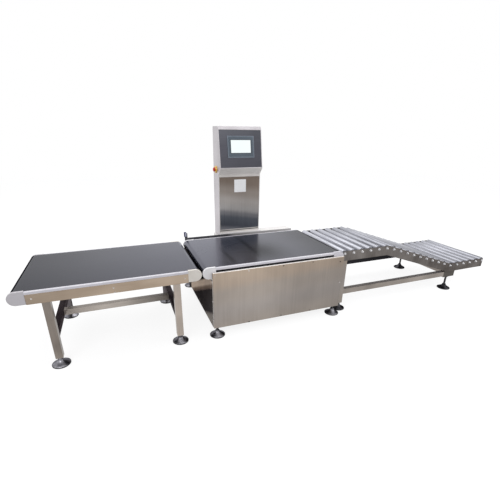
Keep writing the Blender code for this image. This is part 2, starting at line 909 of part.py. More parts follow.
def emergency_stop(y):
    """A mushroom button that slides along +X into its collar."""
    low = stop_collar_height + stop_travel + stop_spare
    dome = [(radius * stop_head_radius, low + height * stop_head_height) for radius, height in stop_dome]
    profile = dome + [
        (stop_stem_radius, low),
        (stop_stem_radius, -stop_stem_reach),
        (0, -stop_stem_reach),
    ]
    at = (column_x, y, stop_height)
    turned("emergency_stop", profile, red_plastic, at, (0, math.radians(-90), 0), drum_sides)


def rail_path(below=0.0):
    """The stepped side rail as (x, z) points, at a distance below its top edge, mitred at both bends."""
    lean = math.tan(slope / 2)
    low = rail_top - slope_drop
    return [
        (rail_start_x, rail_top - below),
        (first_bend_x - below * lean, rail_top - below),
        (second_bend_x - below * lean, low - below),
        (rail_end_x, low - below),
    ]


def roller_place(distance):
    """Axis (x, z) of a roller at a distance along the top edge from the first one."""
    x, z = roller_start_x + distance, rail_top
    normal = (0.0, -1.0)
    if distance > first_bend + slope_length:
        x = second_bend_x + distance - first_bend - slope_length
        z = rail_top - slope_drop
    elif distance > first_bend:
        run = distance - first_bend
        x = first_bend_x + run * math.cos(slope)
        z = rail_top - run * math.sin(slope)
        normal = (-math.sin(slope), -math.cos(slope))
    return x + normal[0] * roller_axis_drop, z + normal[1] * roller_axis_drop


def outfeed_rail(word, side, look):
    """A bent angle: a web along the stepped path and a flange turned in below, with its axle bolts."""
    outer = line_centre_y + side * rail_overall_width / 2
    inner = outer - side * rail_flange
    top, bottom = rail_path(), rail_path(rail_height)
    rows = [
        [(t[0], outer, t[1]), (b[0], outer, b[1]), (b[0], inner, b[1])]
        for t, b in zip(top, bottom)
    ]
    rail = sheet(f"outfeed_rail_{word}", rows if side == near else rows[::-1], rail_sheet, look)
    bolts = bpy.data.collections.new(f"axle_bolts_{word}")
    helpers.children.link(bolts)
    reach = rail_sheet + roller_end_gap + axle_engagement
    profile = [
        (0, reach),
        (axle_radius, reach),
        (axle_radius, overlap),
        (bolt_head_radius, overlap),
        (bolt_head_radius, -bolt_head_height),
        (0, -bolt_head_height),
    ]
    mesh = None
    for i in range(roller_count):
        x, z = roller_place(i * roller_pitch)
        bolt = turned(
            f"axle_bolt_{word}_{i + 1:02d}",
            profile,
            None,
            (x, outer, z),
            (math.radians(90 * side), 0, 0),
            bolt_sides,
            mesh,
        )
        mesh = bolt.data
        helpers.objects.unlink(bolt)
        bolts.objects.link(bolt)
    weld = rail.modifiers.new("Bolts", "BOOLEAN")
    weld.operation = "UNION"
    weld.operand_type = "COLLECTION"
    weld.collection = bolts
    return rail


def gravity_rollers():
    """Tubes with a bored bearing housing in each end, one body each."""
    half = rail_overall_width / 2 - rail_sheet - roller_end_gap
    housing = half - roller_housing
    inside = roller_radius - roller_wall
    profile = [
        (roller_bore_radius, half),
        (roller_radius, half),
        (roller_radius, -half),
        (roller_bore_radius, -half),
        (roller_bore_radius, -housing),
        (inside, -housing),
        (inside, housing),
        (roller_bore_radius, housing),
    ]
    mesh = None
    for i in range(roller_count):
        x, z = roller_place(i * roller_pitch)
        name = f"outfeed_roller_{i + 1:02d}"
        at = (x, line_centre_y, z)
        roller = turned(name, profile, bright_steel, at, across_line, round_sides, mesh)
        mesh = roller.data


def outfeed_stand():
    """Two legs at the upper end, a bracket each side at the lower bend, low tubes and cross tubes."""
    half = tube / 2
    near_y = line_centre_y - rail_overall_width / 2 + outfeed_leg_set_in + half
    ys_near = (near_y - half, near_y + half)
    ys_far = tuple(mirrored_y(y) for y in reversed(ys_near))
    across = near_y - foot_y_near
    leg_x = base_foot_right_x + math.sqrt((2 * foot_radius + foot_clearance) ** 2 - across**2)
    leg_xs = (leg_x - half, leg_x + half)
    bend_x = second_bend_x - rail_height * math.tan(slope / 2)
    bracket_xs = (bend_x + bracket_start, bend_x + bracket_start + bracket_length)
    foot_x = sum(bracket_xs) / 2
    upper_seat = rail_top - rail_height - touch_gap
    lower_seat = upper_seat - slope_drop
    tube_zs = (outfeed_tube_height, outfeed_tube_height + tube)
    leg_core_zs = (stand_foot_gap + stem_engagement, upper_seat - tube_wall)
    bracket_core_xs = (bracket_xs[0] + tube_wall, bracket_xs[1] - tube_wall)
    bracket_core_zs = (bracket_bottom + bracket_floor, lower_seat - tube_wall)
    pieces = []
    cores = []
    bores = []
    for word, ys in (("near", ys_near), ("far", ys_far)):
        if word == "far":
            pieces.append(box("outfeed_leg_far", leg_xs, ys, (stand_foot_gap, upper_seat)))
        pieces.append(box(f"outfeed_bracket_{word}", bracket_xs, ys, (bracket_bottom, lower_seat)))
        low_tube = (f"outfeed_tube_{word}", (leg_x, foot_x), (ys[0] + overlap, ys[1] - overlap), tube_zs)
        pieces.append(box(*low_tube))
        bracket_core_ys = (ys[0] + tube_wall, ys[1] - tube_wall)
        cores.append(tube_core(f"outfeed_leg_{word}", leg_xs, ys, leg_core_zs, 2))
        cores.append(tube_core(*low_tube, 0))
        cores.append(box(f"outfeed_bracket_{word}_core", bracket_core_xs, bracket_core_ys, bracket_core_zs))
    for end, x in (("upper", leg_x), ("lower", foot_x)):
        span = (x - half + overlap, x + half - overlap)
        zs = (tube_zs[0] + overlap, tube_zs[1] - overlap)
        cross = (f"outfeed_cross_{end}", span, (near_y, mirrored_y(near_y)), zs)
        pieces.append(box(*cross))
        cores.append(tube_core(*cross, 1))
    for i, (x, seat) in enumerate(((leg_x, stand_foot_gap), (foot_x, bracket_bottom))):
        for k, y in enumerate((near_y, mirrored_y(near_y))):
            name = f"outfeed_foot_{2 * i + k + 1}"
            foot(name, x, y, seat, dark_steel)
            bores.append(stem_bore(name + "_bore", x, y, seat))
    stand = box("outfeed_stand", leg_xs, ys_near, (stand_foot_gap, upper_seat), steel)
    by_name = {piece.name: piece for piece in pieces}
    order = ["outfeed_cross_upper", "outfeed_leg_far", "outfeed_tube_near", "outfeed_tube_far"]
    order += ["outfeed_bracket_near", "outfeed_bracket_far", "outfeed_cross_lower"]
    join(stand, *[by_name[name] for name in order])
    cut(stand, *cores, *bores)


infeed()
weigh_conveyor()
load_cell()
base()
rear_guide()
console()
outfeed_rail("near", near, dark_steel)
outfeed_rail("far", far, dark_steel)
gravity_rollers()
outfeed_stand()
bpy.context.view_layer.update()
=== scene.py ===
import math

import bmesh
import bpy
from mathutils import Matrix, Vector


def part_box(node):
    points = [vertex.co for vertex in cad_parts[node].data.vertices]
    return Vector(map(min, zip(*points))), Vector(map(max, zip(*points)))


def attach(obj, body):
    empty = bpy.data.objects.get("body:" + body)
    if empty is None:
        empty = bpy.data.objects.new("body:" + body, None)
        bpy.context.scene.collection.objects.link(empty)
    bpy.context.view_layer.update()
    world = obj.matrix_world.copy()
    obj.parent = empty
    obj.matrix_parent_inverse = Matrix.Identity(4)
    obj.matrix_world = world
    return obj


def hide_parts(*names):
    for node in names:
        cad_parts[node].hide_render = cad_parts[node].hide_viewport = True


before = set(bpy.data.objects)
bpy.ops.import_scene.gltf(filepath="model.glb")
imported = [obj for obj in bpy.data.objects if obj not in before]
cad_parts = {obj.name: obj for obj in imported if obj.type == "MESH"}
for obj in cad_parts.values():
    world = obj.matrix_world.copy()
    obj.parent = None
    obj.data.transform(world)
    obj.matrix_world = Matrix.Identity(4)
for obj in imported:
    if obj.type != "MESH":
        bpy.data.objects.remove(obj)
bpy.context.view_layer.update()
lineStart = dict(zip("XY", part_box("base_cover")[0]))
white = (1, 1, 1, 1)
print("stage: frame loaded")


def onLine(x, y, z):  # the line is drawn from the cover's left edge, its front face and the floor
    return Vector((lineStart["X"] + x, lineStart["Y"] + y, z))


def linear(hexColour):
    channels = [int(hexColour[i:i + 2], 16) / 255 for i in (1, 3, 5)]
    return (*[c / 12.92 if c <= 0.04045 else ((c + 0.055) / 1.055) ** 2.4 for c in channels], 1)


def addNode(tree, kind, inputs=None, **settings):  # an input takes a value or another node's output
    node = tree.nodes.new(kind)
    for key, value in settings.items():
        setattr(node, key, value)
    for key, value in (inputs or {}).items():
        if isinstance(value, bpy.types.NodeSocket):
            tree.links.new(value, node.inputs[key])
        else:
            node.inputs[key].default_value = value
    return node


# Camera, floor and light
cameraFit = {
    "place": (-0.481, -1.797, 1.226),
    "yaw": 0.3611,  # from +Y towards +X
    "pitch": -0.3966,
    "roll": 0.0084,
    "lens": 24.11,
    "shift": (0.013, 0.0489),
}


def makeCamera(fit):
    yaw, pitch, roll = fit["yaw"], fit["pitch"], fit["roll"]
    ahead = Vector((math.sin(yaw) * math.cos(pitch), math.cos(yaw) * math.cos(pitch), math.sin(pitch)))
    right = Vector((math.cos(yaw), -math.sin(yaw), 0))
    up = right.cross(ahead)
    tiltedRight = right * math.cos(roll) + up * math.sin(roll)
    tiltedUp = up * math.cos(roll) - right * math.sin(roll)
    data = bpy.data.cameras.new("photoView")
    data.lens = fit["lens"]
    data.shift_x, data.shift_y = fit["shift"]
    camera = bpy.data.objects.new("photoView", data)
    turn = Matrix((tiltedRight, tiltedUp, -ahead)).transposed()
    camera.matrix_world = Matrix.Translation(onLine(*fit["place"])) @ turn.to_4x4()
    bpy.context.scene.collection.objects.link(camera)
    bpy.context.scene.camera = camera


studio = {
    "worldStrength": 0.62,
    "floorHalf": 9.0,
    "floorColour": "#EDEDEF",
    "floorShare": 0.26,  # how much of the floor's look is lit surface, so how deep the shadows are
    "floorGlow": 1.16,  # brings the lit floor back up to the white round it, and leaves the shadows
    "lamps": (  # name, place on the line, aim, size, watts
        ("keyLamp", (-2.2, -2.6, 3.0), (0.4, 0.4, 0.4), 2.4, 62),
        ("topLamp", (0.6, 1.4, 3.4), (0.6, 0.4, 0.4), 3.0, 55),
        ("sideLamp", (3.4, -1.6, 1.9), (0.8, 0.4, 0.4), 1.8, 24),
    ),
}


def seenRays(tree):  # 1 where the camera, a reflection or a glass looks, 0 for light that falls on the object
    rays = addNode(tree, "ShaderNodeLightPath").outputs
    some = addNode(tree, "ShaderNodeMath", {0: rays["Is Camera Ray"], 1: rays["Is Glossy Ray"]},
                   operation="MAXIMUM")
    return addNode(tree, "ShaderNodeMath", {0: some.outputs[0], 1: rays["Is Transmission Ray"]},
                   operation="MAXIMUM").outputs[0]


def makeStudio(look):
    scene = bpy.context.scene
    scene.view_settings.view_transform = "Standard"
    world = bpy.data.worlds.new("paleStudio")
    scene.world = world
    world.use_nodes = True
    tree = world.node_tree
    tree.nodes.clear()
    fill = addNode(tree, "ShaderNodeBackground", {"Color": white, "Strength": look["worldStrength"]})
    shown = addNode(tree, "ShaderNodeBackground", {"Color": white, "Strength": 1.0})
    mixed = addNode(tree, "ShaderNodeMixShader", {0: seenRays(tree), 1: fill.outputs[0], 2: shown.outputs[0]})
    addNode(tree, "ShaderNodeOutputWorld", {"Surface": mixed.outputs[0]})

    paint, tree, _ = newMaterial("studioFloor")
    lit = addNode(tree, "ShaderNodeBsdfDiffuse", {"Color": linear(look["floorColour"])})
    seen = addNode(tree, "ShaderNodeMath", {0: seenRays(tree), 1: look["floorGlow"]}, operation="MULTIPLY")
    glow = addNode(tree, "ShaderNodeEmission", {"Color": white, "Strength": seen.outputs[0]})
    closeTree(tree, addNode(tree, "ShaderNodeMixShader",
                            {0: look["floorShare"], 1: glow.outputs[0], 2: lit.outputs[0]}))

    half = look["floorHalf"]
    mesh = bpy.data.meshes.new("studioFloor")
    corners = [(-half, -half, 0), (half, -half, 0), (half, half, 0), (-half, half, 0)]
    mesh.from_pydata(corners, [], [(0, 1, 2, 3)])
    mesh.materials.append(paint)
    floor = bpy.data.objects.new("studioFloor", mesh)
    scene.collection.objects.link(floor)

    for name, place, aim, size, watts in look["lamps"]:
        data = bpy.data.lights.new(name, "AREA")
        data.size = size
        data.energy = watts
        lamp = bpy.data.objects.new(name, data)
        lamp.location = onLine(*place)
        lamp.rotation_euler = (onLine(*aim) - lamp.location).to_track_quat("-Z", "Y").to_euler()
        scene.collection.objects.link(lamp)


def newMaterial(name):
    made = bpy.data.materials.new(name)
    made.use_nodes = True
    tree = made.node_tree
    tree.nodes.clear()
    where = addNode(tree, "ShaderNodeTexCoord").outputs["Object"]
    return made, tree, where


def closeTree(tree, surface):
    addNode(tree, "ShaderNodeOutputMaterial", {"Surface": surface.outputs[0]})


makeCamera(cameraFit)
makeStudio(studio)
print("stage: camera and studio")


# Finishes
def fadeAlong(tree, where, fade, axis="X"):  # (place on the line, share) at either end of a slow change
    (start, first), (end, last) = fade
    parts = addNode(tree, "ShaderNodeSeparateXYZ", {"Vector": where})
    return addNode(tree, "ShaderNodeMapRange",
                   {"Value": parts.outputs[axis], "From Min": lineStart[axis] + start,
                    "From Max": lineStart[axis] + end, "To Min": first, "To Max": last},
                   interpolation_type="SMOOTHSTEP").outputs[0]


steelUsual = {
    "metal": 1.0, "level": 0.5, "rim": "#FFFFFF", "cloud": 4.0, "wear": (0.80, 1.12), "streakShare": 0.45,
    # grit lines are about 0.1 mm wide; drawn 2 mm wide so that they show
    "streakLength": 0.16, "streakWidth": 0.002,
    "lean": 0.0, "leanFrom": 0.0, "leanAlong": "X", "plainStep": 0.03, "glossSwing": (-0.05, 0.07),
}


def brushedSteel(name, given):
    # 304 stainless sheet, belt-ground: a metal with long fine scratches one way, which stretch its
    # highlights across them, and slow cloudy changes where it was handled and wiped.
    look = {**steelUsual, **given}
    made, tree, where = newMaterial(name)
    along, across = 1 / look["streakLength"], 1 / look["streakWidth"]
    scale = [along if axis == look["grain"] else across for axis in "XYZ"]
    stretched = addNode(tree, "ShaderNodeMapping", {"Vector": where, "Scale": scale})
    streaks = addNode(tree, "ShaderNodeTexNoise", {"Vector": stretched.outputs[0], "Scale": 1.0,
                                                   "Detail": 3.0, "Roughness": 0.6}).outputs["Fac"]
    clouds = addNode(tree, "ShaderNodeTexNoise", {"Vector": where, "Scale": look["cloud"], "Detail": 2.0})
    share = addNode(tree, "ShaderNodeMath", {0: streaks, 1: look["streakShare"]}, operation="MULTIPLY")
    total = addNode(tree, "ShaderNodeMath",
                    {0: clouds.outputs["Fac"], 1: 1 - look["streakShare"], 2: share.outputs[0]},
                    operation="MULTIPLY_ADD")
    tone = addNode(tree, "ShaderNodeMapRange",
                   {"Value": total.outputs[0], "From Min": 0.32, "From Max": 0.68})
    parts = addNode(tree, "ShaderNodeSeparateXYZ", {"Vector": where})
    if "bands" in look:  # painted reflection and shade: a tone that changes with height, in place of the room that a real sheet mirrors and the shade on it
        raised = addNode(tree, "ShaderNodeMath", {0: streaks, 1: look["smear"], 2: parts.outputs["Z"]},
                         operation="MULTIPLY_ADD")
        axis = look["leanAlong"]
        aside = addNode(tree, "ShaderNodeMath",
                        {0: parts.outputs[axis], 1: lineStart[axis] + look["leanFrom"]}, operation="SUBTRACT")
        moved = addNode(tree, "ShaderNodeMath", {0: aside.outputs[0], 1: look["lean"], 2: raised.outputs[0]},
                        operation="MULTIPLY_ADD")
        first, *between, last = look["bands"]
        low, high = first[0], last[0]
        height = addNode(tree, "ShaderNodeMapRange",
                         {"Value": moved.outputs[0], "From Min": low, "From Max": high})
        ramp = addNode(tree, "ShaderNodeValToRGB", {"Fac": height.outputs[0]})
        ramp.color_ramp.interpolation = "EASE"
        stops = ramp.color_ramp.elements
        stops[0].color, stops[1].color = linear(first[1]), linear(last[1])
        for z, hexColour in between:
            stops.new((z - low) / (high - low)).color = linear(hexColour)
        least, most = look["wear"]
        wearAndShade = addNode(tree, "ShaderNodeMix",
                       {0: tone.outputs[0], 6: (least, least, least, 1), 7: (most, most, most, 1)},
                       data_type="RGBA")
        colour = addNode(tree, "ShaderNodeMix", {0: 1.0, 6: ramp.outputs[0], 7: wearAndShade.outputs[2]},
                         data_type="RGBA", blend_type="MULTIPLY")
    else:
        colour = addNode(tree, "ShaderNodeMix",
                         {0: tone.outputs[0], 6: linear(look["dark"]), 7: linear(look["light"])},
                         data_type="RGBA")
    if "plain" in look:  # painted shade: one flat dark tone past a place across the line
        start, shadeColour = lineStart["Y"] + look["plain"][0], look["plain"][1]
        past = addNode(tree, "ShaderNodeMapRange", {"Value": parts.outputs["Y"], "From Min": start,
                                                    "From Max": start + look["plainStep"]})
        colour = addNode(tree, "ShaderNodeMix",
                         {0: past.outputs[0], 6: colour.outputs[2], 7: linear(shadeColour)}, data_type="RGBA")
    for key, axis in (("fade", "X"), ("across", "Y")):  # painted light and shade: a brightness that changes slowly along and across the line
        if key in look:
            faded = fadeAlong(tree, where, look[key], axis)
            colour = addNode(tree, "ShaderNodeMix", {0: 1.0, 6: colour.outputs[2], 7: faded},
                             data_type="RGBA", blend_type="MULTIPLY")
    smoother, rougher = look["glossSwing"]
    gloss = addNode(tree, "ShaderNodeMapRange", {"Value": streaks, "To Min": look["roughness"] + smoother,
                                                 "To Max": look["roughness"] + rougher})
    ridges = addNode(tree, "ShaderNodeBump", {"Height": streaks, "Strength": 0.12, "Distance": 0.0004})
    # a dark sheet's edge tint stays dark where the sheet is seen along its face
    rim = colour.outputs[2] if look.get("darkEdge") else linear(look["rim"])
    closeTree(tree, addNode(tree, "ShaderNodeBsdfPrincipled", {
        "Base Color": colour.outputs[2], "Roughness": gloss.outputs[0], "Normal": ridges.outputs[0],
        "Metallic": look["metal"], "Specular Tint": rim, "Specular IOR Level": look["level"]}))
    return made


plasticUsual = {"level": 0.5, "bump": 0.08, "glossSwing": (-0.05, 0.08)}


def mouldedPlastic(name, given):
    # Injection-moulded ABS or polyamide: an even colour with a slow drift, a fine spark-eroded skin and a
    # soft highlight.
    look = {**plasticUsual, **given}
    made, tree, where = newMaterial(name)
    drift = addNode(tree, "ShaderNodeTexNoise",
                    {"Vector": where, "Scale": 14.0, "Detail": 3.0}).outputs["Fac"]
    # the real skin is about 0.05 mm deep at 0.2 mm pitch; drawn at 1.2 mm
    skin = addNode(tree, "ShaderNodeTexNoise", {"Vector": where, "Scale": 850.0, "Detail": 2.0})
    colour = addNode(tree, "ShaderNodeMix", {0: drift, 6: linear(look["dark"]), 7: linear(look["light"])},
                     data_type="RGBA")
    smoother, rougher = look["glossSwing"]
    gloss = addNode(tree, "ShaderNodeMapRange", {"Value": drift, "To Min": look["roughness"] + smoother,
                                                 "To Max": look["roughness"] + rougher})
    bump = addNode(tree, "ShaderNodeBump",
                   {"Height": skin.outputs["Fac"], "Strength": look["bump"], "Distance": 0.0003})
    closeTree(tree, addNode(tree, "ShaderNodeBsdfPrincipled", {
        "Base Color": colour.outputs[2], "Roughness": gloss.outputs[0], "Normal": bump.outputs[0],
        "IOR": 1.5, "Specular IOR Level": look["level"]}))
    return made


def nearLine(tree, parts, axis, place, reach):  # 1 at a place along an axis, 0 beyond its reach
    off = addNode(tree, "ShaderNodeMath", {0: parts.outputs[axis], 1: place}, operation="SUBTRACT")
    far = addNode(tree, "ShaderNodeMath", {0: off.outputs[0]}, operation="ABSOLUTE")
    return addNode(tree, "ShaderNodeMapRange",
                   {"Value": far.outputs[0], "From Min": 0.0, "From Max": reach, "To Min": 1.0,
                    "To Max": 0.0}, interpolation_type="SMOOTHSTEP").outputs[0]


beltUsual = {"wearAndShade": (), "glossSwing": (-0.02, 0.05), "tint": "#DDDFFF", "lacquerTint": "#E6E8FF",
             "lacquerSmoother": 0.03, "fullShine": 0.5}


def beltCover(name, given):
    # PVC belt cover with a thin polyurethane lacquer: near-black with a blue cast, and glossy enough to
    # mirror what stands behind it, with faint drag marks along the travel. Its shine is painted down towards
    # one end and round listed spots, as painted shade.
    look = {**beltUsual, **given}
    made, tree, where = newMaterial(name)
    # drag marks lie some 15 mm apart and run on for most of a metre
    drawn = addNode(tree, "ShaderNodeMapping", {"Vector": where, "Scale": (1.2, 60.0, 60.0)})
    marks = addNode(tree, "ShaderNodeTexNoise", {"Vector": drawn.outputs[0], "Scale": 1.0, "Detail": 2.0})
    patches = addNode(tree, "ShaderNodeTexNoise", {"Vector": where, "Scale": 2.4, "Detail": 1.0})
    colour = addNode(tree, "ShaderNodeMix",
                     {0: marks.outputs["Fac"], 6: linear(look["dark"]), 7: linear(look["light"])},
                     data_type="RGBA")
    smoother, rougher = look["glossSwing"]
    gloss = addNode(tree, "ShaderNodeMapRange",
                    {"Value": patches.outputs["Fac"], "From Min": 0.3, "From Max": 0.7,
                     "To Min": look["roughness"] + smoother, "To Max": look["roughness"] + rougher})
    # painted shade: the shine fades along the line and is dimmed round each listed spot
    shine = fadeAlong(tree, where, look["fade"])
    parts = addNode(tree, "ShaderNodeSeparateXYZ", {"Vector": where})
    for (x, reachX), (y, reachY), share in look["wearAndShade"]:
        spot = onLine(x, y, 0)
        both = addNode(tree, "ShaderNodeMath", {0: nearLine(tree, parts, "X", spot.x, reachX),
                                                1: nearLine(tree, parts, "Y", spot.y, reachY)},
                       operation="MULTIPLY")
        less = addNode(tree, "ShaderNodeMapRange", {"Value": both.outputs[0], "To Min": 1.0, "To Max": share})
        shine = addNode(tree, "ShaderNodeMath", {0: shine, 1: less.outputs[0]},
                        operation="MULTIPLY").outputs[0]
    coat = addNode(tree, "ShaderNodeMath", {0: shine, 1: look["lacquer"]}, operation="MULTIPLY")
    level = addNode(tree, "ShaderNodeMath", {0: shine, 1: look["fullShine"]}, operation="MULTIPLY")
    closeTree(tree, addNode(tree, "ShaderNodeBsdfPrincipled", {
        "Base Color": colour.outputs[2], "Roughness": gloss.outputs[0], "Coat Weight": coat.outputs[0],
        "Specular IOR Level": level.outputs[0], "IOR": 1.52, "Specular Tint": linear(look["tint"]),
        "Coat Roughness": look["roughness"] - look["lacquerSmoother"],
        "Coat Tint": linear(look["lacquerTint"])}))
    return made


def litPanel(name, look):
    # A backlit LCD behind a hard-coated touch film: even cool light, a smooth skin over it.
    made, tree, where = newMaterial(name)
    glow = addNode(tree, "ShaderNodeTexNoise", {"Vector": where, "Scale": 9.0, "Detail": 1.0})
    colour = addNode(tree, "ShaderNodeMix",
                     {0: glow.outputs["Fac"], 6: linear(look["dark"]), 7: linear(look["light"])},
                     data_type="RGBA")
    closeTree(tree, addNode(tree, "ShaderNodeBsdfPrincipled", {
        "Emission Color": colour.outputs[2], "Emission Strength": look["strength"],
        "Roughness": look["roughness"], "IOR": 1.49, "Base Color": linear(look["unlit"])}))
    return made


# Places in these are on the line. "bands" are (height, colour) of a painted reflection and shade, "fade"
# and "across" are painted slow changes of light along and across the line, and "lean" tilts the bands.
steels = {
    # the base's cover and end sheet, ground coarse: broad soft streaks, warm, with a painted reflection that
    # changes with height and darkens towards the right
    "warmSheet": {
        "grain": "Z", "roughness": 0.36, "streakShare": 0.30, "streakWidth": 0.012, "streakLength": 0.45,
        "cloud": 3.4, "wear": (0.80, 1.10), "smear": 0.04, "lean": -0.05, "fade": ((0.1, 0.97), (1.0, 0.72)),
        "bands": ((0.06, "#A39A92"), (0.20, "#9E9792"), (0.32, "#A0978F"), (0.40, "#AA9B8D"),
                  (0.45, "#AE9E8E"))},
    # the infeed's side sheets, fine ground along their length, warmer than the base, with painted shade
    # darker towards their left end
    "plateSheet": {"grain": "X", "dark": "#938373", "light": "#B8A897", "roughness": 0.34,
                   "streakShare": 0.30, "cloud": 3.0, "fade": ((-1.0, 0.80), (-0.45, 1.08))},
    # ground square tube: the upright faces, with painted shade darker towards the left end, then the
    # stretcher, with painted shade darker towards its right end, and the outfeed's low tubes
    "standTube": {"grain": "Z", "dark": "#9C928A", "light": "#C8BCB1", "roughness": 0.33, "cloud": 6.0,
                  "fade": ((-0.90, 0.47), (-0.22, 0.88))},
    "tieTube": {"grain": "X", "dark": "#9C948D", "light": "#C8BFB7", "roughness": 0.33, "cloud": 6.0,
                "fade": ((-0.62, 0.90), (-0.28, 0.38))},
    "lowTube": {"grain": "X", "dark": "#7C756F", "light": "#9E968F", "roughness": 0.35, "cloud": 6.0},
    "bracketSheet": {"grain": "Z", "dark": "#4C4946", "light": "#77736F", "roughness": 0.38,
                     "rim": "#8A8A8A", "cloud": 9.0},
    # painted shade: the legs' and tubes' faces that look inwards are painted dark
    "millSteel": {"grain": "Z", "dark": "#565254", "light": "#777173", "roughness": 0.42,
                  "rim": "#767274", "cloud": 6.0},
    # painted shade: near-black steel for the weighing frame under the edge strips and the outfeed's far low
    # tubes
    "frameSteel": {"grain": "X", "dark": "#252427", "light": "#343336", "roughness": 0.46, "rim": "#4A494E"},
    "innerSteel": {"grain": "X", "dark": "#6F6C69", "light": "#8E8A86", "roughness": 0.40},
    # the console's cabinet, fine ground: pale and even
    "cabinetSheet": {"grain": "Z", "dark": "#B1ADB1", "light": "#CBC7CB", "roughness": 0.38,
                     "streakShare": 0.20},
    # painted light: the chin, the lip, the plinth and the deck are paler copies of the stainless, with little
    # metal in them, so that they read as lit
    "chinSheet": {"grain": "X", "dark": "#EEE8E5", "light": "#FFFCF8", "roughness": 0.52, "metal": 0.05,
                  "streakShare": 0.2},
    "lipSheet": {"grain": "X", "dark": "#BAB6B3", "light": "#DAD6D3", "roughness": 0.5, "metal": 0.15,
                 "streakShare": 0.2},
    "plinthSheet": {"grain": "X", "dark": "#E2E0E1", "light": "#F8F7F7", "roughness": 0.5, "metal": 0.15,
                    "streakShare": 0.2},
    "deckSheet": {"grain": "X", "dark": "#DAD8D7", "light": "#F2F0EF", "roughness": 0.4, "metal": 0.25,
                  "streakShare": 0.25},
    # the outfeed's bent rails, darker than the other sheets
    "railSheet": {"grain": "Z", "dark": "#504B48", "light": "#7B7673", "roughness": 0.36,
                  "rim": "#9A9A9A", "streakLength": 0.05, "cloud": 9.0},
    # drawn bar, with a painted reflection and shade that runs from dark to light along it
    "barSteel": {
        "grain": "X", "roughness": 0.34, "metal": 0.2, "smear": 0.02, "lean": 1.0, "leanFrom": -0.05,
        "bands": ((0.46, "#56565C"), (0.84, "#505056"), (0.93, "#A29F9F"), (1.10, "#BFBDBE"),
                  (1.45, "#D6D4D5"))},
    # bright drawn tube, polished round and round; painted highlights make it lighter where the deck begins
    # and towards its far ends
    "rollerTube": {"grain": "Y", "dark": "#8F9097", "light": "#B2B3BB", "roughness": 0.38,
                   "streakWidth": 0.004, "fade": ((0.92, 1.20), (1.30, 0.86)),
                   "across": ((0.05, 0.90), (0.62, 1.42))},
    # fasteners: bright screws, screws painted dark as shade, and zinc-plated axle bolts
    "screwSteel": {"grain": "Z", "dark": "#A9A6A4", "light": "#D6D3D0", "roughness": 0.24},
    "dullSteel": {"grain": "Z", "dark": "#4A4542", "light": "#6A6460", "roughness": 0.45},
    "boltSteel": {"grain": "Z", "dark": "#C8C8CC", "light": "#F1F1F3", "roughness": 0.24, "metal": 0.6},
    # the feet are cast and tumbled: cloudy, with hardly a scratch; the outfeed's feet get a darker copy as
    # painted shade
    "castSteel": {"grain": "Z", "dark": "#57565B", "light": "#A09FA5", "roughness": 0.30,
                  "rim": "#A4A4A8", "cloud": 30.0, "streakShare": 0.15},
    "darkCast": {"grain": "Z", "dark": "#1F1F21", "light": "#4C4B4F", "roughness": 0.32,
                 "rim": "#6A6A6E", "cloud": 30.0, "streakShare": 0.15},
    "cellAluminium": {"grain": "X", "dark": "#A9ABAE", "light": "#C4C6C9", "roughness": 0.32},
    # the console's two front panels are polished finer; the room they mirror is painted on them in soft bands
    # as a painted reflection, and the head panel is painted darker to the right
    "headPanel": {
        "grain": "X", "roughness": 0.34, "smear": 0.02, "fade": ((0.30, 1.14), (0.58, 0.78)),
        "bands": ((0.99, "#53535A"), (1.12, "#57575F"), (1.26, "#5F6067"))},
    "frontPanel": {
        "grain": "Z", "roughness": 0.34, "streakWidth": 0.006, "streakLength": 0.4, "smear": 0.022,
        "lean": 0.16, "leanFrom": 0.443,
        "bands": ((0.50, "#97989D"), (0.54, "#5F636B"), (0.60, "#666A72"), (0.635, "#818185"),
                  (0.675, "#A6A3A2"), (0.73, "#A09B98"), (0.81, "#877F79"), (0.89, "#70655D"),
                  (0.96, "#6C6159"))},
    # painted reflection and shade: the base's left end faces the infeed's stand and floor, and is painted in
    # dark and light fields for them and for the shade under the belts
    "endPanel": {
        "grain": "Z", "roughness": 0.44, "smear": 0.012, "metal": 0.5, "level": 0.0, "darkEdge": True,
        "plain": (0.66, "#5C5654"), "streakWidth": 0.02, "streakLength": 0.5,
        "lean": 0.475, "leanAlong": "Y",
        "bands": ((0.07, "#B0AAA5"), (0.165, "#AAA49F"), (0.205, "#6C6768"), (0.350, "#625C5D"),
                  (0.380, "#9A8B80"), (0.402, "#DECEBF"), (0.432, "#DECEBF"), (0.450, "#383534"),
                  (0.49, "#33302F"))},
}
belts = {
    # painted shade: "fade" takes each belt's shine down towards one end
    "infeedPvc": {"dark": "#15161E", "light": "#1F212B", "roughness": 0.20, "lacquer": 0.25,
                  "fade": ((-1.15, 0.20), (-0.02, 1.06))},
    "weighPvc": {"dark": "#0E1016", "light": "#15171E", "roughness": 0.24, "lacquer": 0.5,
                 "fade": ((0.28, 1.10), (0.98, 0.25)),
                 # painted reflection: a broad patch where the shine is dimmed for the dark console front the
                 # belt mirrors, then two narrow lines across it where the shine is less
                 "wearAndShade": (((0.42, 0.28), (0.24, 0.42), 0.20), ((0.366, 0.034), (0.42, 0.42), 0.25),
                          ((0.166, 0.030), (0.20, 0.26), 0.35))},
}
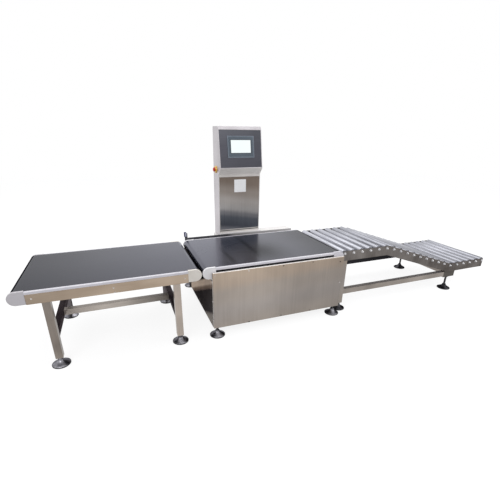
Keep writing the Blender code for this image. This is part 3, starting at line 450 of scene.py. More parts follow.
plastics = {
    # painted shade: a near-black finish that mirrors nothing, on the belts' bends round their drums
    "beltBend": {"dark": "#19191E", "light": "#212127", "roughness": 0.62, "level": 0.0},
    # extruded edge strips and moulded bearing housings, from cool grey to cream
    "stripPlastic": {"dark": "#CAC8D0", "light": "#E2E0E8", "roughness": 0.34},
    "capGrey": {"dark": "#B9B6BB", "light": "#D3D0D5", "roughness": 0.42},
    "capWhite": {"dark": "#E0DFE3", "light": "#FAF9FC", "roughness": 0.42},
    "capCream": {"dark": "#DAD4CD", "light": "#F0EBE4", "roughness": 0.42},
    # the feet's pads and stems
    "rubberPad": {"dark": "#141416", "light": "#222225", "roughness": 0.62, "bump": 0.2},
    "stemBlack": {"dark": "#1B1B1D", "light": "#38383B", "roughness": 0.36},
    "housingPlastic": {"dark": "#8F9098", "light": "#B5B6BE", "roughness": 0.44},
    # the touch screen's case, its lighter edge and the dark border under the film
    "bezelPlastic": {"dark": "#47525D", "light": "#55616D", "roughness": 0.40},
    "bezelRim": {"dark": "#828C9B", "light": "#9AA3B1", "roughness": 0.30},
    "screenBorder": {"dark": "#2B323A", "light": "#39414B", "roughness": 0.18, "bump": 0.0},
    # the button's head and collar, glossy
    "stopRed": {"dark": "#B3200F", "light": "#CF3018", "roughness": 0.28},
    "stopYellow": {"dark": "#EBB01E", "light": "#FACB45", "roughness": 0.34},
    "barePlate": {"dark": "#F8FAFF", "light": "#FFFFFF", "roughness": 0.30, "bump": 0.0},
    "sensorBlue": {"dark": "#26284A", "light": "#3A3D60", "roughness": 0.36},
    "sensorLens": {"dark": "#B9BBD2", "light": "#DADBEA", "roughness": 0.12, "bump": 0.0},
}
screens = {"litScreen": {"dark": "#F0FBFB", "light": "#FAFFFF", "strength": 0.98, "roughness": 0.12,
                         "unlit": "#1A1D20"}}
finishes = {}
for make, looks in ((brushedSteel, steels), (beltCover, belts), (mouldedPlastic, plastics),
                    (litPanel, screens)):
    for name, look in looks.items():
        finishes[name] = make(name, look)
print("stage:", len(finishes), "finishes")


# Making pieces
sharpFrom = 35  # degrees: an edge that turns more than this is drawn sharp
cornerSteps = 4


def addPiece(name, mesh, body, looks, replaces=()):
    piece = bpy.data.objects.new(name, mesh)
    bpy.context.scene.collection.objects.link(piece)
    for look in looks:
        mesh.materials.append(finishes[look])
    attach(piece, body)
    if replaces:
        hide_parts(*replaces)
    return piece


def finishMesh(name, shape, angle=sharpFrom):
    bmesh.ops.recalc_face_normals(shape, faces=shape.faces)
    mesh = bpy.data.meshes.new(name)
    shape.to_mesh(mesh)
    shape.free()
    mesh.shade_smooth()
    mesh.set_sharp_from_angle(angle=math.radians(angle))
    return mesh


def roundEdges(piece, width, segments=2, angle=40):
    bevel = piece.modifiers.new("roundEdges", "BEVEL")
    bevel.width = width
    bevel.segments = segments
    bevel.limit_method = "ANGLE"
    bevel.angle_limit = math.radians(angle)
    return piece


def turnedShape(rings, centre, axis, sides=48, shape=None):
    # rings: (radius, distance along the axis, material); one that starts on the axis ends on it,
    # any other is a closed loop
    shape = shape or bmesh.new()
    turn = Vector(axis).to_track_quat("Z", "Y").to_matrix().to_4x4()
    place = Matrix.Translation(centre) @ turn
    rows = []
    for radius, height, _ in rings:
        if radius == 0:
            rows.append([shape.verts.new(place @ Vector((0, 0, height)))])
            continue
        steps = [2 * math.pi * i / sides for i in range(sides)]
        rows.append([shape.verts.new(place @ Vector((radius * math.cos(a), radius * math.sin(a), height)))
                     for a in steps])
    pairs = list(zip(rows, rows[1:], [ring[2] for ring in rings[1:]]))
    if rings[0][0] > 0:
        pairs.append((rows[-1], rows[0], rings[0][2]))
    for one, two, look in pairs:
        for i in range(sides):
            k = (i + 1) % sides
            corners = [one[i % len(one)], one[k % len(one)], two[k % len(two)], two[i % len(two)]]
            kept = [v for j, v in enumerate(corners) if v not in corners[:j]]
            if len(kept) > 2:
                shape.faces.new(kept).material_index = look
    return shape


def joinRows(shape, one, two):  # a band of faces between two closed rows of points
    for i in range(len(one)):
        k = (i + 1) % len(one)
        shape.faces.new((one[i], one[k], two[k], two[i]))


def prismShape(*outlines):  # closed, between two outlines that match point for point
    shape = bmesh.new()
    rows = [[shape.verts.new(point) for point in outline] for outline in outlines]
    for row in rows:
        shape.faces.new(row)
    joinRows(shape, *rows)
    return shape


def arcPoints(centre, radius, start, end, steps):
    turns = [math.radians(start + (end - start) * i / steps) for i in range(steps + 1)]
    return [(centre[0] + radius * math.cos(a), centre[1] + radius * math.sin(a)) for a in turns]


def plateShape(width, depth, height, corner):  # x across, y its depth, z up, with rounded corners
    halfW, halfH = width / 2 - corner, height / 2 - corner
    outline = []
    for cx, cz, start in ((halfW, halfH, 0), (-halfW, halfH, 90), (-halfW, -halfH, 180),
                          (halfW, -halfH, 270)):
        outline += arcPoints((cx, cz), corner, start, start + 90, cornerSteps)
    return prismShape(*[[(x, y, z) for x, z in outline] for y in (-depth / 2, depth / 2)])


def lineBox(node):  # a node's box on the line's own axes
    low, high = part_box(node)
    return low - onLine(0, 0, 0), high - onLine(0, 0, 0)


def dress(look, *nodes):  # a CAD node whose shape is right keeps it and gets its finish
    for node in nodes:
        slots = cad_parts[node].data.materials
        for i in range(len(slots)):
            slots[i] = finishes[look]
        if not slots:
            slots.append(finishes[look])


def softened(node, look, width):
    # the node's own solid, joined up and given the small radii that folded and drawn metal has
    shape = bmesh.new()
    shape.from_mesh(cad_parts[node].data)
    bmesh.ops.remove_doubles(shape, verts=shape.verts, dist=0.00002)
    bmesh.ops.dissolve_limit(shape, angle_limit=math.radians(1), verts=shape.verts, edges=shape.edges)
    mesh = bpy.data.meshes.new(node + "Skin")
    shape.to_mesh(mesh)
    shape.free()
    mesh.materials.clear()
    piece = addPiece(node + "Skin", mesh, "machine", [look], [node])
    return roundEdges(piece, width)


def paintFaces(piece, look, test):  # a finish on the faces whose middle and direction pass the test
    mesh = piece.data
    mesh.materials.append(finishes[look])
    for face in mesh.polygons:
        if test(face.center - onLine(0, 0, 0), face.normal):
            face.material_index = len(mesh.materials) - 1


# Fasteners: one Geometry Nodes tree puts a head on each point of a bare mesh
headTaper = 0.72  # a head's crown as a share of its radius


def buildHeadTree():
    tree = bpy.data.node_groups.new("headsOnPoints", "GeometryNodeTree")
    wanted = (("Points", "NodeSocketGeometry"), ("Turn", "NodeSocketVector"),
              ("Head Radius", "NodeSocketFloat"), ("Head Height", "NodeSocketFloat"),
              ("Washer Radius", "NodeSocketFloat"), ("Washer Height", "NodeSocketFloat"),
              ("Sides", "NodeSocketInt"), ("Metal", "NodeSocketMaterial"))
    for label, kind in wanted:
        tree.interface.new_socket(label, in_out="INPUT", socket_type=kind)
    tree.interface.new_socket("Heads", in_out="OUTPUT", socket_type="NodeSocketGeometry")
    given = addNode(tree, "NodeGroupInput").outputs
    washer = addNode(tree, "GeometryNodeMeshCylinder",
                     {"Vertices": 18, "Radius": given["Washer Radius"], "Depth": given["Washer Height"]})
    crown = addNode(tree, "ShaderNodeMath", {0: given["Head Radius"], 1: headTaper}, operation="MULTIPLY")
    head = addNode(tree, "GeometryNodeMeshCone",
                   {"Vertices": given["Sides"], "Radius Top": crown.outputs[0],
                    "Radius Bottom": given["Head Radius"], "Depth": given["Head Height"]})
    both = addNode(tree, "GeometryNodeJoinGeometry", {0: washer.outputs["Mesh"]})
    tree.links.new(head.outputs["Mesh"], both.inputs[0])
    turned = addNode(tree, "FunctionNodeEulerToRotation", {0: given["Turn"]})
    placed = addNode(tree, "GeometryNodeInstanceOnPoints",
                     {"Points": given["Points"], "Instance": both.outputs[0], "Rotation": turned.outputs[0]})
    real = addNode(tree, "GeometryNodeRealizeInstances", {0: placed.outputs[0]})
    painted = addNode(tree, "GeometryNodeSetMaterial",
                      {"Geometry": real.outputs[0], "Material": given["Metal"]})
    addNode(tree, "NodeGroupOutput", {0: painted.outputs[0]})
    return tree


def runTree(tree, name, mesh, values):
    # puts a tree on a mesh, reads the result as a plain mesh and takes the tree off again
    holder = bpy.data.objects.new(name + "Points", mesh)
    bpy.context.scene.collection.objects.link(holder)
    step = holder.modifiers.new(name, "NODES")
    step.node_group = tree
    named = {item.name: item.identifier for item in tree.interface.items_tree if item.in_out == "INPUT"}
    for label, value in values.items():
        step[named[label]] = value
    graph = bpy.context.evaluated_depsgraph_get()
    result = bpy.data.meshes.new_from_object(holder.evaluated_get(graph))
    result.name = name
    holder.modifiers.remove(step)
    bpy.data.objects.remove(holder, do_unlink=True)
    return result


headTree = buildHeadTree()
facing = {"front": (math.radians(90), 0, 0), "rear": (math.radians(-90), 0, 0),
          "left": (0, math.radians(-90), 0)}
screwSize = {"Head Radius": 0.0038, "Head Height": 0.003, "Washer Radius": 0.0044,
             "Washer Height": 0.0012, "Sides": 16}
boltSize = {"Head Radius": 0.0078, "Head Height": 0.0106, "Washer Radius": 0.0088,
            "Washer Height": 0.0028, "Sides": 6}


def addHeads(name, points, side, size=screwSize, metal="screwSteel"):
    mesh = bpy.data.meshes.new(name + "Points")
    mesh.from_pydata([onLine(*point) for point in points], [], [])
    made = runTree(headTree, name, mesh, {"Turn": facing[side], "Metal": finishes[metal], **size})
    made.set_sharp_from_angle(angle=math.radians(sharpFrom))
    addPiece(name, made, "machine", [])


# Belts, edge strips and end caps
beltSize = {
    "thickness": 0.0027, "arcSteps": 28, "edgeRound": 0.0006, "edgeAngle": 60,
    # how far down a bend the belt keeps its own finish before the painted shade below, as a share of its
    # radius: before the bed, past the bed
    "bendShadeLine": {"infeed": (0.97, 0.60), "weigh": (0.20, 1.01)},
}


def makeBelt(unit):
    low, high = lineBox(unit + "_belt")
    outer = (high.z - low.z) / 2
    axisZ = (high.z + low.z) / 2
    left, right = (low.x + outer, axisZ), (high.x - outer, axisZ)
    steps = beltSize["arcSteps"]
    shape = bmesh.new()
    rows = []
    for r in (outer, outer - beltSize["thickness"]):
        loop = arcPoints(left, r, 90, 270, steps) + arcPoints(right, r, -90, 90, steps)
        rows += [[shape.verts.new(onLine(x, y, z)) for x, z in loop] for y in (low.y, high.y)]
    outerNear, outerFar, innerNear, innerFar = rows
    for one, two in ((outerNear, outerFar), (innerNear, innerFar), (outerNear, innerNear),
                     (outerFar, innerFar)):
        joinRows(shape, one, two)
    mesh = finishMesh(unit + "Belt", shape)
    shadeLineBefore, shadeLinePast = beltSize["bendShadeLine"][unit]
    for face in mesh.polygons:
        spot = face.center - onLine(0, 0, 0)
        shadeLine = shadeLineBefore if spot.x < left[0] else shadeLinePast
        # painted shade: bend faces below that line get the dark bend finish
        if not left[0] <= spot.x <= right[0] and spot.z < axisZ + outer * shadeLine:
            face.material_index = 1
    belt = addPiece(unit + "Belt", mesh, "machine", [unit + "Pvc", "beltBend"],
                    [unit + "_belt"])
    roundEdges(belt, beltSize["edgeRound"], angle=beltSize["edgeAngle"])


capSize = {"near": 0.0375, "far": 0.0338, "length": 0.082, "round": 0.0016, "roundSteps": 3,
           "roundAngle": 50, "arcSteps": 30}
stripSize = {
    "depth": 0.0155, "round": 0.0005, "sharpFrom": 20,
    # the outer edge's groove: in from the outer face, down from the top
    "groove": ((0.0042, 0), (0.0036, 0.0012), (0.0012, 0.0012), (0, 0.0024)),
}


def makeEdge(unit, side, leftLook, rightLook):
    low, high = lineBox(f"{unit}_edge_{side}")
    beltLow, beltHigh = lineBox(unit + "_belt")
    beltRadius = (beltHigh.z - beltLow.z) / 2
    axisZ = (beltHigh.z + beltLow.z) / 2
    radius, topZ = capSize[side], beltHigh.z
    ends = (("Left", beltLow.x + beltRadius, leftLook, 1), ("Right", beltHigh.x - beltRadius, rightLook, -1))
    shoulders = []
    for end, x, look, way in ends:
        shoulder = x + way * (capSize["length"] - radius)
        shoulders.append(shoulder)
        outline = arcPoints((x, axisZ), radius, 90, 270 if way > 0 else -90, capSize["arcSteps"])
        outline += [(shoulder, axisZ - radius), (shoulder, axisZ + radius)]
        name = f"{unit}Cap{side.title()}{end}"
        shape = prismShape(*[[onLine(x, y, z) for x, z in outline] for y in (low.y, high.y)])
        cap = addPiece(name, finishMesh(name, shape), "machine", [look])
        roundEdges(cap, capSize["round"], capSize["roundSteps"], capSize["roundAngle"])
    name = f"{unit}Strip{side.title()}"
    stripLow = topZ - stripSize["depth"]
    outer, inner, way = (low.y, high.y, 1) if side == "near" else (high.y, low.y, -1)
    groove = [(outer + way * inset, topZ - down) for inset, down in stripSize["groove"]]
    section = [(inner, topZ), *groove, (outer, stripLow), (inner, stripLow)]
    shape = prismShape(*[[onLine(x, y, z) for y, z in section] for x in shoulders])
    strip = addPiece(name, finishMesh(name, shape, stripSize["sharpFrom"]), "machine",
                     ["stripPlastic"], [f"{unit}_edge_{side}"])
    roundEdges(strip, stripSize["round"])


capLooks = {"infeed": ("capGrey", "capCream"), "weigh": ("capWhite", "stripPlastic")}
for unit in ("infeed", "weigh"):
    makeBelt(unit)
    for side in ("near", "far"):
        makeEdge(unit, side, *capLooks[unit])
    dress("innerSteel", unit + "_drive_roller", unit + "_tail_roller")
print("stage: belts and edges")


# Infeed frame
infeedSize = {
    "plateRound": 0.0007, "tubeRound": 0.0012,
    "tieWithin": 0.15, "legsPast": 0.25,  # from the stand's middle, along the line
    "crossPast": 0.15, "farLegsPast": 0.53,  # across the line
    "screws": ((-0.959, 0.437), (-0.560, 0.437), (-0.557, 0.409), (-0.163, 0.437)),
}
squareOn = 0.7  # how far a face is turned to a direction to count as facing it
infeedLow, infeedHigh = lineBox("infeed_side_near")
infeedMiddle = (infeedLow.x + infeedHigh.x) / 2
for side in ("near", "far"):
    softened("infeed_side_" + side, "plateSheet", infeedSize["plateRound"])
stand = softened("infeed_stand", "standTube", infeedSize["tubeRound"])


def looksInward(spot, way):  # on the far legs and on both cross members
    leftEnd = spot.x < infeedMiddle - infeedSize["legsPast"]
    rightEnd = spot.x > infeedMiddle + infeedSize["legsPast"]
    if not (leftEnd or rightEnd):
        return False
    if spot.y > infeedSize["farLegsPast"]:
        return way.y < squareOn
    inward = leftEnd and way.x > squareOn or rightEnd and way.x < -squareOn or way.z > squareOn
    return spot.y > infeedSize["crossPast"] and inward


# painted shade on the stand's inward faces
paintFaces(stand, "millSteel", looksInward)
paintFaces(stand, "tieTube", lambda spot, way: abs(spot.x - infeedMiddle) < infeedSize["tieWithin"])
dress("innerSteel", "infeed_bed")
# painted shade: the weighing frame is near-black
dress("frameSteel", "weigh_frame")
infeedRear = lineBox("infeed_side_far")[1].y
addHeads("infeedScrewsNear", [(x, infeedLow.y, z) for x, z in infeedSize["screws"]], "front")
addHeads("infeedScrewsFar", [(x, infeedRear, z) for x, z in infeedSize["screws"]], "rear")
print("stage: infeed frame")


# Weighing base
coverSize = {
    "fold": 0.0035, "foldSteps": 4, "sheet": 0.002, "topFacing": 0.9,
    "screws": ((0.013, 0.440), (0.233, 0.442), (0.927, 0.261)),
    "shadedScrews": ((0.475, 0.444), (0.694, 0.443), (0.914, 0.418), (0.240, 0.075), (0.476, 0.078),
                   (0.702, 0.076)),
    "flangeIn": 0.011, "flangeScrews": (0.395, 0.262, 0.130),
}


def makeCover():
    low, high = lineBox("base_cover")
    shape = bmesh.new()
    bmesh.ops.create_cube(shape, size=1)
    bmesh.ops.scale(shape, vec=high - low, verts=shape.verts)
    bmesh.ops.translate(shape, vec=onLine(*((low + high) / 2)), verts=shape.verts)
    rear = [face for face in shape.faces if face.normal.y > squareOn]
    bmesh.ops.delete(shape, geom=rear, context="FACES_ONLY")
    folds = [edge for edge in shape.edges if len(edge.link_faces) == 2]
    bmesh.ops.bevel(shape, geom=folds, offset=coverSize["fold"], segments=coverSize["foldSteps"],
                    profile=0.5, affect="EDGES")
    mesh = finishMesh("baseCover", shape)
    cover = addPiece("baseCover", mesh, "machine", ["warmSheet"], ["base_cover"])
    # painted light: the cover's top faces get the pale chin finish
    paintFaces(cover, "chinSheet", lambda spot, way: way.z > coverSize["topFacing"])
    wall = cover.modifiers.new("sheet", "SOLIDIFY")
    wall.thickness = coverSize["sheet"]
    wall.offset = -1
    wall.use_even_offset = True


makeCover()
addHeads("coverScrews", [(x, 0, z) for x, z in coverSize["screws"]], "front")
# painted shade: these cover screws get the dark copy of the screw steel
addHeads("coverScrewsShaded", [(x, 0, z) for x, z in coverSize["shadedScrews"]], "front", metal="dullSteel")
addHeads("flangeScrews", [(0, coverSize["flangeIn"], z) for z in coverSize["flangeScrews"]], "left")

baseSize = {"round": 0.0006, "endWithin": 0.01, "endFacing": 0.9, "deckPast": 0.6, "deckAbove": 0.40}
body = softened("base_body", "warmSheet", baseSize["round"])
# painted reflection and shade: the body's left end gets the end panel's fields
paintFaces(body, "endPanel",
           lambda spot, way: way.x < -baseSize["endFacing"] and spot.x < baseSize["endWithin"])
# painted light: the body's upward faces and its high rear faces get the pale deck finish
paintFaces(body, "deckSheet",
           lambda spot, way: way.z > baseSize["endFacing"]
           or spot.y > baseSize["deckPast"] and spot.z > baseSize["deckAbove"])
barSize = {"round": 0.0006, "paleAbove": 0.494}
bar = softened("rear_bar", "barSteel", barSize["round"])
# painted light: the bar's top gets the pale plinth finish
paintFaces(bar, "plinthSheet", lambda spot, way: spot.z > barSize["paleAbove"])
dress("innerSteel", "base_frame")
dress("cellAluminium", "load_cell")

eyeSize = {"round": 0.0012, "lensWidth": 0.0075, "lensDepth": 0.0012, "lensCorner": 0.002,
           "lensInset": 0.004, "lensIn": 0.0055}
softened("rear_sensor", "sensorBlue", eyeSize["round"])
eyeLow, eyeHigh = lineBox("rear_sensor")
lens = plateShape(eyeSize["lensWidth"], eyeSize["lensDepth"],
                  eyeHigh.z - eyeLow.z - 2 * eyeSize["lensInset"], eyeSize["lensCorner"])
lensPlace = onLine(eyeHigh.x - eyeSize["lensIn"], eyeLow.y, (eyeLow.z + eyeHigh.z) / 2)
bmesh.ops.translate(lens, vec=lensPlace, verts=lens.verts)
addPiece("sensorLens", finishMesh("sensorLens", lens), "machine", ["sensorLens"])
print("stage: weighing base")


# Feet
footSize = {
    "coneTop": 0.029, "collar": 0.0145, "stem": 0.008, "sides": 40, "sharpFrom": 40,
    # the rubber pad and the cone on it: in from the rim, height, material
    "padSteps": ((0.0015, 0, 1), (0, 0.0015, 1), (0, 0.0062, 1), (0.0022, 0.0070, 1), (0.0026, 0.0076, 0),
                 (0.006, 0.0096, 0), (0.015, 0.0146, 0), (0.025, 0.0206, 0), (0.032, 0.0262, 0)),
    # the collar: out from its face, up from the cone's top
    "collarSteps": ((0.001, 0), (0, 0.001), (0, 0.008), (-0.001, 0.009)),
    "pitch": 0.0025, "threadDepth": 0.0009, "threadFrom": 0.010, "threadEnd": 0.001, "tip": 0.0008,
    "nutHeight": 0.009, "nutRadius": 0.0138, "nutDown": 0.0206, "nutFrom": 0.0098, "nutEdge": 0.0015,
    "nutFlat": 0.86, "nutSides": 6,
}


def makeFoot(node):
    low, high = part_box(node)
    centre = Vector(((low.x + high.x) / 2, (low.y + high.y) / 2, 0))
    rim = (high.x - low.x) / 2
    coneTop, collar, stem, pitch = (footSize[key] for key in ("coneTop", "collar", "stem", "pitch"))
    rings = [(0, 0, 1)] + [(rim - inset, z, look) for inset, z, look in footSize["padSteps"]]
    rings += [(collar + out, coneTop + up, 0) for out, up in footSize["collarSteps"]]
    rings.append((stem, rings[-1][1], 0))
    threadLow, threadHigh = coneTop + footSize["threadFrom"], high.z - footSize["threadEnd"]
    for i in range(int((threadHigh - threadLow) / pitch)):
        rings += [(stem, threadLow + i * pitch, 2),
                  (stem - footSize["threadDepth"], threadLow + (i + 0.5) * pitch, 2)]
    rings += [(stem, high.z - footSize["tip"], 2), (0, high.z, 2)]
    shape = turnedShape(rings, centre, (0, 0, 1), footSize["sides"])
    nutTop = high.z - footSize["nutDown"]
    nutLow = max(nutTop - footSize["nutHeight"], coneTop + footSize["nutFrom"])
    radius, edge = footSize["nutRadius"], footSize["nutEdge"]
    flat = radius * footSize["nutFlat"]
    nut = [(0, nutTop, 0), (flat, nutTop, 0), (radius, nutTop - edge, 0), (radius, nutLow + edge, 0),
           (flat, nutLow, 0), (0, nutLow, 0)]
    turnedShape(nut, centre, (0, 0, 1), footSize["nutSides"], shape)
    # painted shade: the outfeed's feet get the dark copy of the cast finish
    cone = "darkCast" if node.startswith("outfeed") else "castSteel"
    mesh = finishMesh(node + "Mesh", shape, footSize["sharpFrom"])
    addPiece(node.replace("_foot_", "Foot"), mesh, node, [cone, "rubberPad", "stemBlack"],
             [node])


for unit in ("infeed", "base", "outfeed"):
    for i in range(1, 5):
        makeFoot(f"{unit}_foot_{i}")
print("stage: feet")


# Roller outfeed
rollerSize = {
    "bore": 0.0068, "sides": 44,
    # the bearing housing and the tube's rolled end: in from the tube's face, in from its end, material
    "endSteps": ((0.004, 0.0022, 1), (0.0028, 0.0006, 0), (0.0018, 0, 0), (0.0005, 0.0006, 0),
                 (0, 0.0020, 0)),
}


def makeRoller(node):
    low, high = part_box(node)
    half, radius = (high.y - low.y) / 2, (high.z - low.z) / 2
    steps = [(radius - inset, half - back, look) for inset, back, look in rollerSize["endSteps"]]
    end = [(rollerSize["bore"], *steps[0][1:]), *steps]
    rings = end + [(r, -h, look) for r, h, look in reversed(end)]
    shape = turnedShape(rings, (low + high) / 2, (0, 1, 0), rollerSize["sides"])
    addPiece(node.replace("outfeed_roller_", "roller"), finishMesh(node + "Mesh", shape), node,
             ["rollerTube", "housingPlastic"], [node])


rollerNodes = sorted(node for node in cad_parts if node.startswith("outfeed_roller_"))
for node in rollerNodes:
    makeRoller(node)
outfeedSize = {
    "boltIn": 0.004, "tubeRound": 0.0012, "bracketsPast": 1.850, "bracketFacing": 0.5,
    "upperLegsBefore": 1.010, "tubesBelow": 0.17, "farTubesPast": 0.5,
}
middles = [sum(lineBox(node), Vector()) / 2 for node in rollerNodes]
nearY = lineBox("outfeed_rail_near")[0].y + outfeedSize["boltIn"]
farY = lineBox("outfeed_rail_far")[1].y - outfeedSize["boltIn"]
addHeads("railBoltsNear", [(axle.x, nearY, axle.z) for axle in middles], "front", boltSize, "boltSteel")
addHeads("railBoltsFar", [(axle.x, farY, axle.z) for axle in middles], "rear", boltSize, "boltSteel")
for side in ("near", "far"):
    dress("railSheet", "outfeed_rail_" + side)
stand = softened("outfeed_stand", "lowTube", outfeedSize["tubeRound"])
tubesBelow, sideways = outfeedSize["tubesBelow"], outfeedSize["bracketFacing"]
paintFaces(stand, "bracketSheet",
           lambda spot, way: spot.x > outfeedSize["bracketsPast"] and abs(way.y) > sideways)
paintFaces(stand, "warmSheet",
           lambda spot, way: spot.x < outfeedSize["upperLegsBefore"] and spot.z > tubesBelow)
# painted shade: the far low tubes' faces that don't look rearwards get the near-black steel
paintFaces(stand, "frameSteel", lambda spot, way: spot.y > outfeedSize["farTubesPast"]
           and spot.z < tubesBelow and way.y < sideways)
print("stage: outfeed")


# Console
consoleSize = {
    "left": 0.272, "width": 0.342, "frontY": 0.750, "round": 0.0010,
    "headTop": (0.749, 1.2595), "headBottom": (0.705, 0.988),  # across the line, height
    "plinthTop": 0.4815, "chinLow": 0.940, "frontFacing": 0.6,
    "borderX": 0.0055, "headBorder": 0.004, "lowerZ": (0.5068, 0.9190),
    "panelFront": 0.0003, "panelBack": 0.0027, "panelCorner": 0.002,
    "shadowLineZ": (0.4945, 0.5000), "shadowLineDepth": 0.0010, "shadowLineOut": 0.0003, "shadowLineCorner": 0.0004,
    "shadowLineRound": 0.0001,
}
headTop, headBottom = (Vector((0, *consoleSize[key])) for key in ("headTop", "headBottom"))
headLean = math.atan2(headTop.y - headBottom.y, headTop.z - headBottom.z)
headLength = (headTop - headBottom).length
headDown = (headBottom - headTop).normalized()
headOut = Vector((0, headDown.z, -headDown.y))
columnMiddle = consoleSize["left"] + consoleSize["width"] / 2
frontY = consoleSize["frontY"]


def onHead(across, down, out):  # a place on the inclined face, from its top middle
    spot = headTop + headDown * down + headOut * out
    return onLine(columnMiddle + across, spot.y, spot.z)


def setPlace(shape, centre, lean):
    bmesh.ops.transform(shape, matrix=Matrix.Translation(centre) @ Matrix.Rotation(-lean, 4, "X"),
                        verts=shape.verts)


def addPlate(name, size, corner, centre, lean, look, rounded=0.0004):
    shape = plateShape(*size, corner)  # width, depth, height
    setPlace(shape, centre, lean)
    plate = addPiece(name, finishMesh(name, shape), "machine", [look])
    roundEdges(plate, rounded)


def addFrame(name, width, height, band, depth, centre):
    # a flat ring with a straight outer and inner edge, lying on the inclined face
    shape = bmesh.new()
    rings = []
    for y in (-depth / 2, depth / 2):
        for less in (0, band):
            halfW, halfH = width / 2 - less, height / 2 - less
            corners = ((-halfW, -halfH), (halfW, -halfH), (halfW, halfH), (-halfW, halfH))
            rings.append([shape.verts.new((x, y, z)) for x, z in corners])
    outerFront, innerFront, outerBack, innerBack = rings
    for one, two in ((outerFront, innerFront), (innerFront, innerBack), (innerBack, outerBack),
                     (outerBack, outerFront)):
        joinRows(shape, one, two)
    setPlace(shape, centre, headLean)
    addPiece(name, finishMesh(name, shape), "machine", ["bezelRim"])


column = softened("console_column", "cabinetSheet", consoleSize["round"])
plinthTop, chinLow, chinHigh = consoleSize["plinthTop"], consoleSize["chinLow"], headBottom.z
toFront = -consoleSize["frontFacing"]
# painted light: the column's front faces get the pale lip and chin finishes by height, and everything below
# the plinth's top the pale plinth finish
paintFaces(column, "lipSheet", lambda spot, way: way.y < toFront and plinthTop < spot.z < chinLow)
paintFaces(column, "chinSheet", lambda spot, way: way.y < toFront and chinLow <= spot.z < chinHigh)
paintFaces(column, "plinthSheet", lambda spot, way: spot.z < plinthTop)

panelWidth = consoleSize["width"] - 2 * consoleSize["borderX"]
panelDepth = consoleSize["panelBack"] - consoleSize["panelFront"]
panelMiddle = (consoleSize["panelBack"] + consoleSize["panelFront"]) / 2
addPlate("headPanel", (panelWidth, panelDepth, headLength - 2 * consoleSize["headBorder"]),
         consoleSize["panelCorner"], onHead(0, headLength / 2, -panelMiddle), headLean, "headPanel")
lowZ, highZ = consoleSize["lowerZ"]
addPlate("frontPanel", (panelWidth, panelDepth, highZ - lowZ), consoleSize["panelCorner"],
         onLine(columnMiddle, frontY + panelMiddle, (lowZ + highZ) / 2), 0, "frontPanel")
# painted shadow: a thin near-black strip at the foot of the front panel, in the shadow line between the panel
# and the plinth
shadowLineLow, shadowLineHigh = consoleSize["shadowLineZ"]
addPlate("footSeal", (panelWidth, consoleSize["shadowLineDepth"], shadowLineHigh - shadowLineLow), consoleSize["shadowLineCorner"],
         onLine(columnMiddle, frontY - consoleSize["shadowLineOut"], (shadowLineLow + shadowLineHigh) / 2), 0, "rubberPad",
         consoleSize["shadowLineRound"])

signSize = {"side": 0.097, "depth": 0.0012, "corner": 0.002, "round": 0.0003, "x": 0.446, "out": 0.0002,
            "z": 0.8505}
addPlate("barePlate", (signSize["side"], signSize["depth"], signSize["side"]), signSize["corner"],
         onLine(signSize["x"], frontY - signSize["out"], signSize["z"]), 0, "barePlate",
         signSize["round"])

rearSize = {"width": 0.286, "height": 0.700, "depth": 0.0015, "corner": 0.006, "out": 0.0006,
            "middle": 0.905, "screwInset": 0.014, "screwOut": 0.0013}
rearY = lineBox("console_column")[1].y
addPlate("rearCover", (rearSize["width"], rearSize["depth"], rearSize["height"]), rearSize["corner"],
         onLine(columnMiddle, rearY + rearSize["out"], rearSize["middle"]), 0, "cabinetSheet")
screwAcross = rearSize["width"] / 2 - rearSize["screwInset"]
screwUp = rearSize["height"] / 2 - rearSize["screwInset"]
rearScrews = [(columnMiddle + across * screwAcross, rearY + rearSize["screwOut"],
               rearSize["middle"] + up * screwUp) for across in (-1, 1) for up in (-1, 0, 1)]
addHeads("rearCoverScrews", rearScrews, "rear")

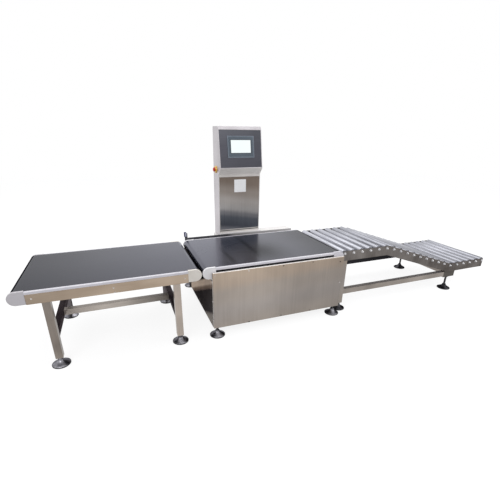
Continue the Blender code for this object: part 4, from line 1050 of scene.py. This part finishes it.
# the screen: sizes are width, depth, height, and "out" is up from the inclined face
screenSize = {
    "down": 0.1207, "round": 0.0001, "rimDown": 0.1237, "rimOut": 0.0040,
    "border": (0.1664, 0.0006, 0.0974), "borderCorner": 0.001, "borderOut": 0.0033,
    "face": (0.156, 0.0004, 0.090), "faceCorner": 0.0006, "faceOut": 0.0038, "faceAside": -0.0005,
    "frames": (("bezelRim", 0.2085, 0.1535, 0.0022, 0.0009),  # name, width, height, band, depth
               ("bezelStep", 0.1960, 0.1410, 0.0012, 0.0007)),
}
dress("bezelPlastic", "console_screen")
addPlate("screenBorder", screenSize["border"], screenSize["borderCorner"],
         onHead(0, screenSize["down"], screenSize["borderOut"]), headLean, "screenBorder",
         screenSize["round"])
addPlate("screenFace", screenSize["face"], screenSize["faceCorner"],
         onHead(screenSize["faceAside"], screenSize["down"], screenSize["faceOut"]), headLean, "litScreen",
         screenSize["round"])
for ring in screenSize["frames"]:
    addFrame(*ring, onHead(0, screenSize["rimDown"], screenSize["rimOut"]))

stopSize = {
    "collar": 0.0264, "collarHeight": 0.0074, "bore": 0.0117, "gap": 0.0002,
    "collarEdge": ((0.0022, 0), (0.0008, 0.0005), (0, 0.0022)),  # in from its side, down from its top
    "neck": 0.0125, "skirt": 0.0045, "domeSteps": 10, "stem": 0.011,
    "headEdge": ((0.0006, 0.0012), (0.002, 0)),  # in from its side, out from the neck
}


def makeStop():
    low, high = lineBox("emergency_stop")
    left = consoleSize["left"]
    centre = onLine(left, (low.y + high.y) / 2, (low.z + high.z) / 2)
    outer, height, bore, gap = (stopSize[key] for key in ("collar", "collarHeight", "bore", "gap"))
    collar = [(bore, gap, 0), (bore, height, 0)]
    collar += [(outer - inset, height - down, 0) for inset, down in stopSize["collarEdge"]]
    collar.append((outer, gap, 0))
    addPiece("stopCollar", finishMesh("stopCollar", turnedShape(collar, centre, (-1, 0, 0))), "machine",
             ["stopYellow"])
    head, top, neck, stem = (high.y - low.y) / 2, left - low.x, stopSize["neck"], stopSize["stem"]
    skirt, steps = neck + stopSize["skirt"], stopSize["domeSteps"]
    turns = [math.radians(90 * i / steps) for i in range(1, steps + 1)]
    rings = [(0, top, 0)]
    rings += [(head * math.sin(a), skirt + (top - skirt) * math.cos(a), 0) for a in turns]
    rings += [(head - inset, neck + out, 0) for inset, out in stopSize["headEdge"]]
    rings += [(stem, neck, 0), (stem, left - high.x, 0), (0, left - high.x, 0)]
    addPiece("stopHead", finishMesh("stopHead", turnedShape(rings, centre, (-1, 0, 0))), "emergency_stop",
             ["stopRed"], ["emergency_stop"])


makeStop()
print("stage: console")
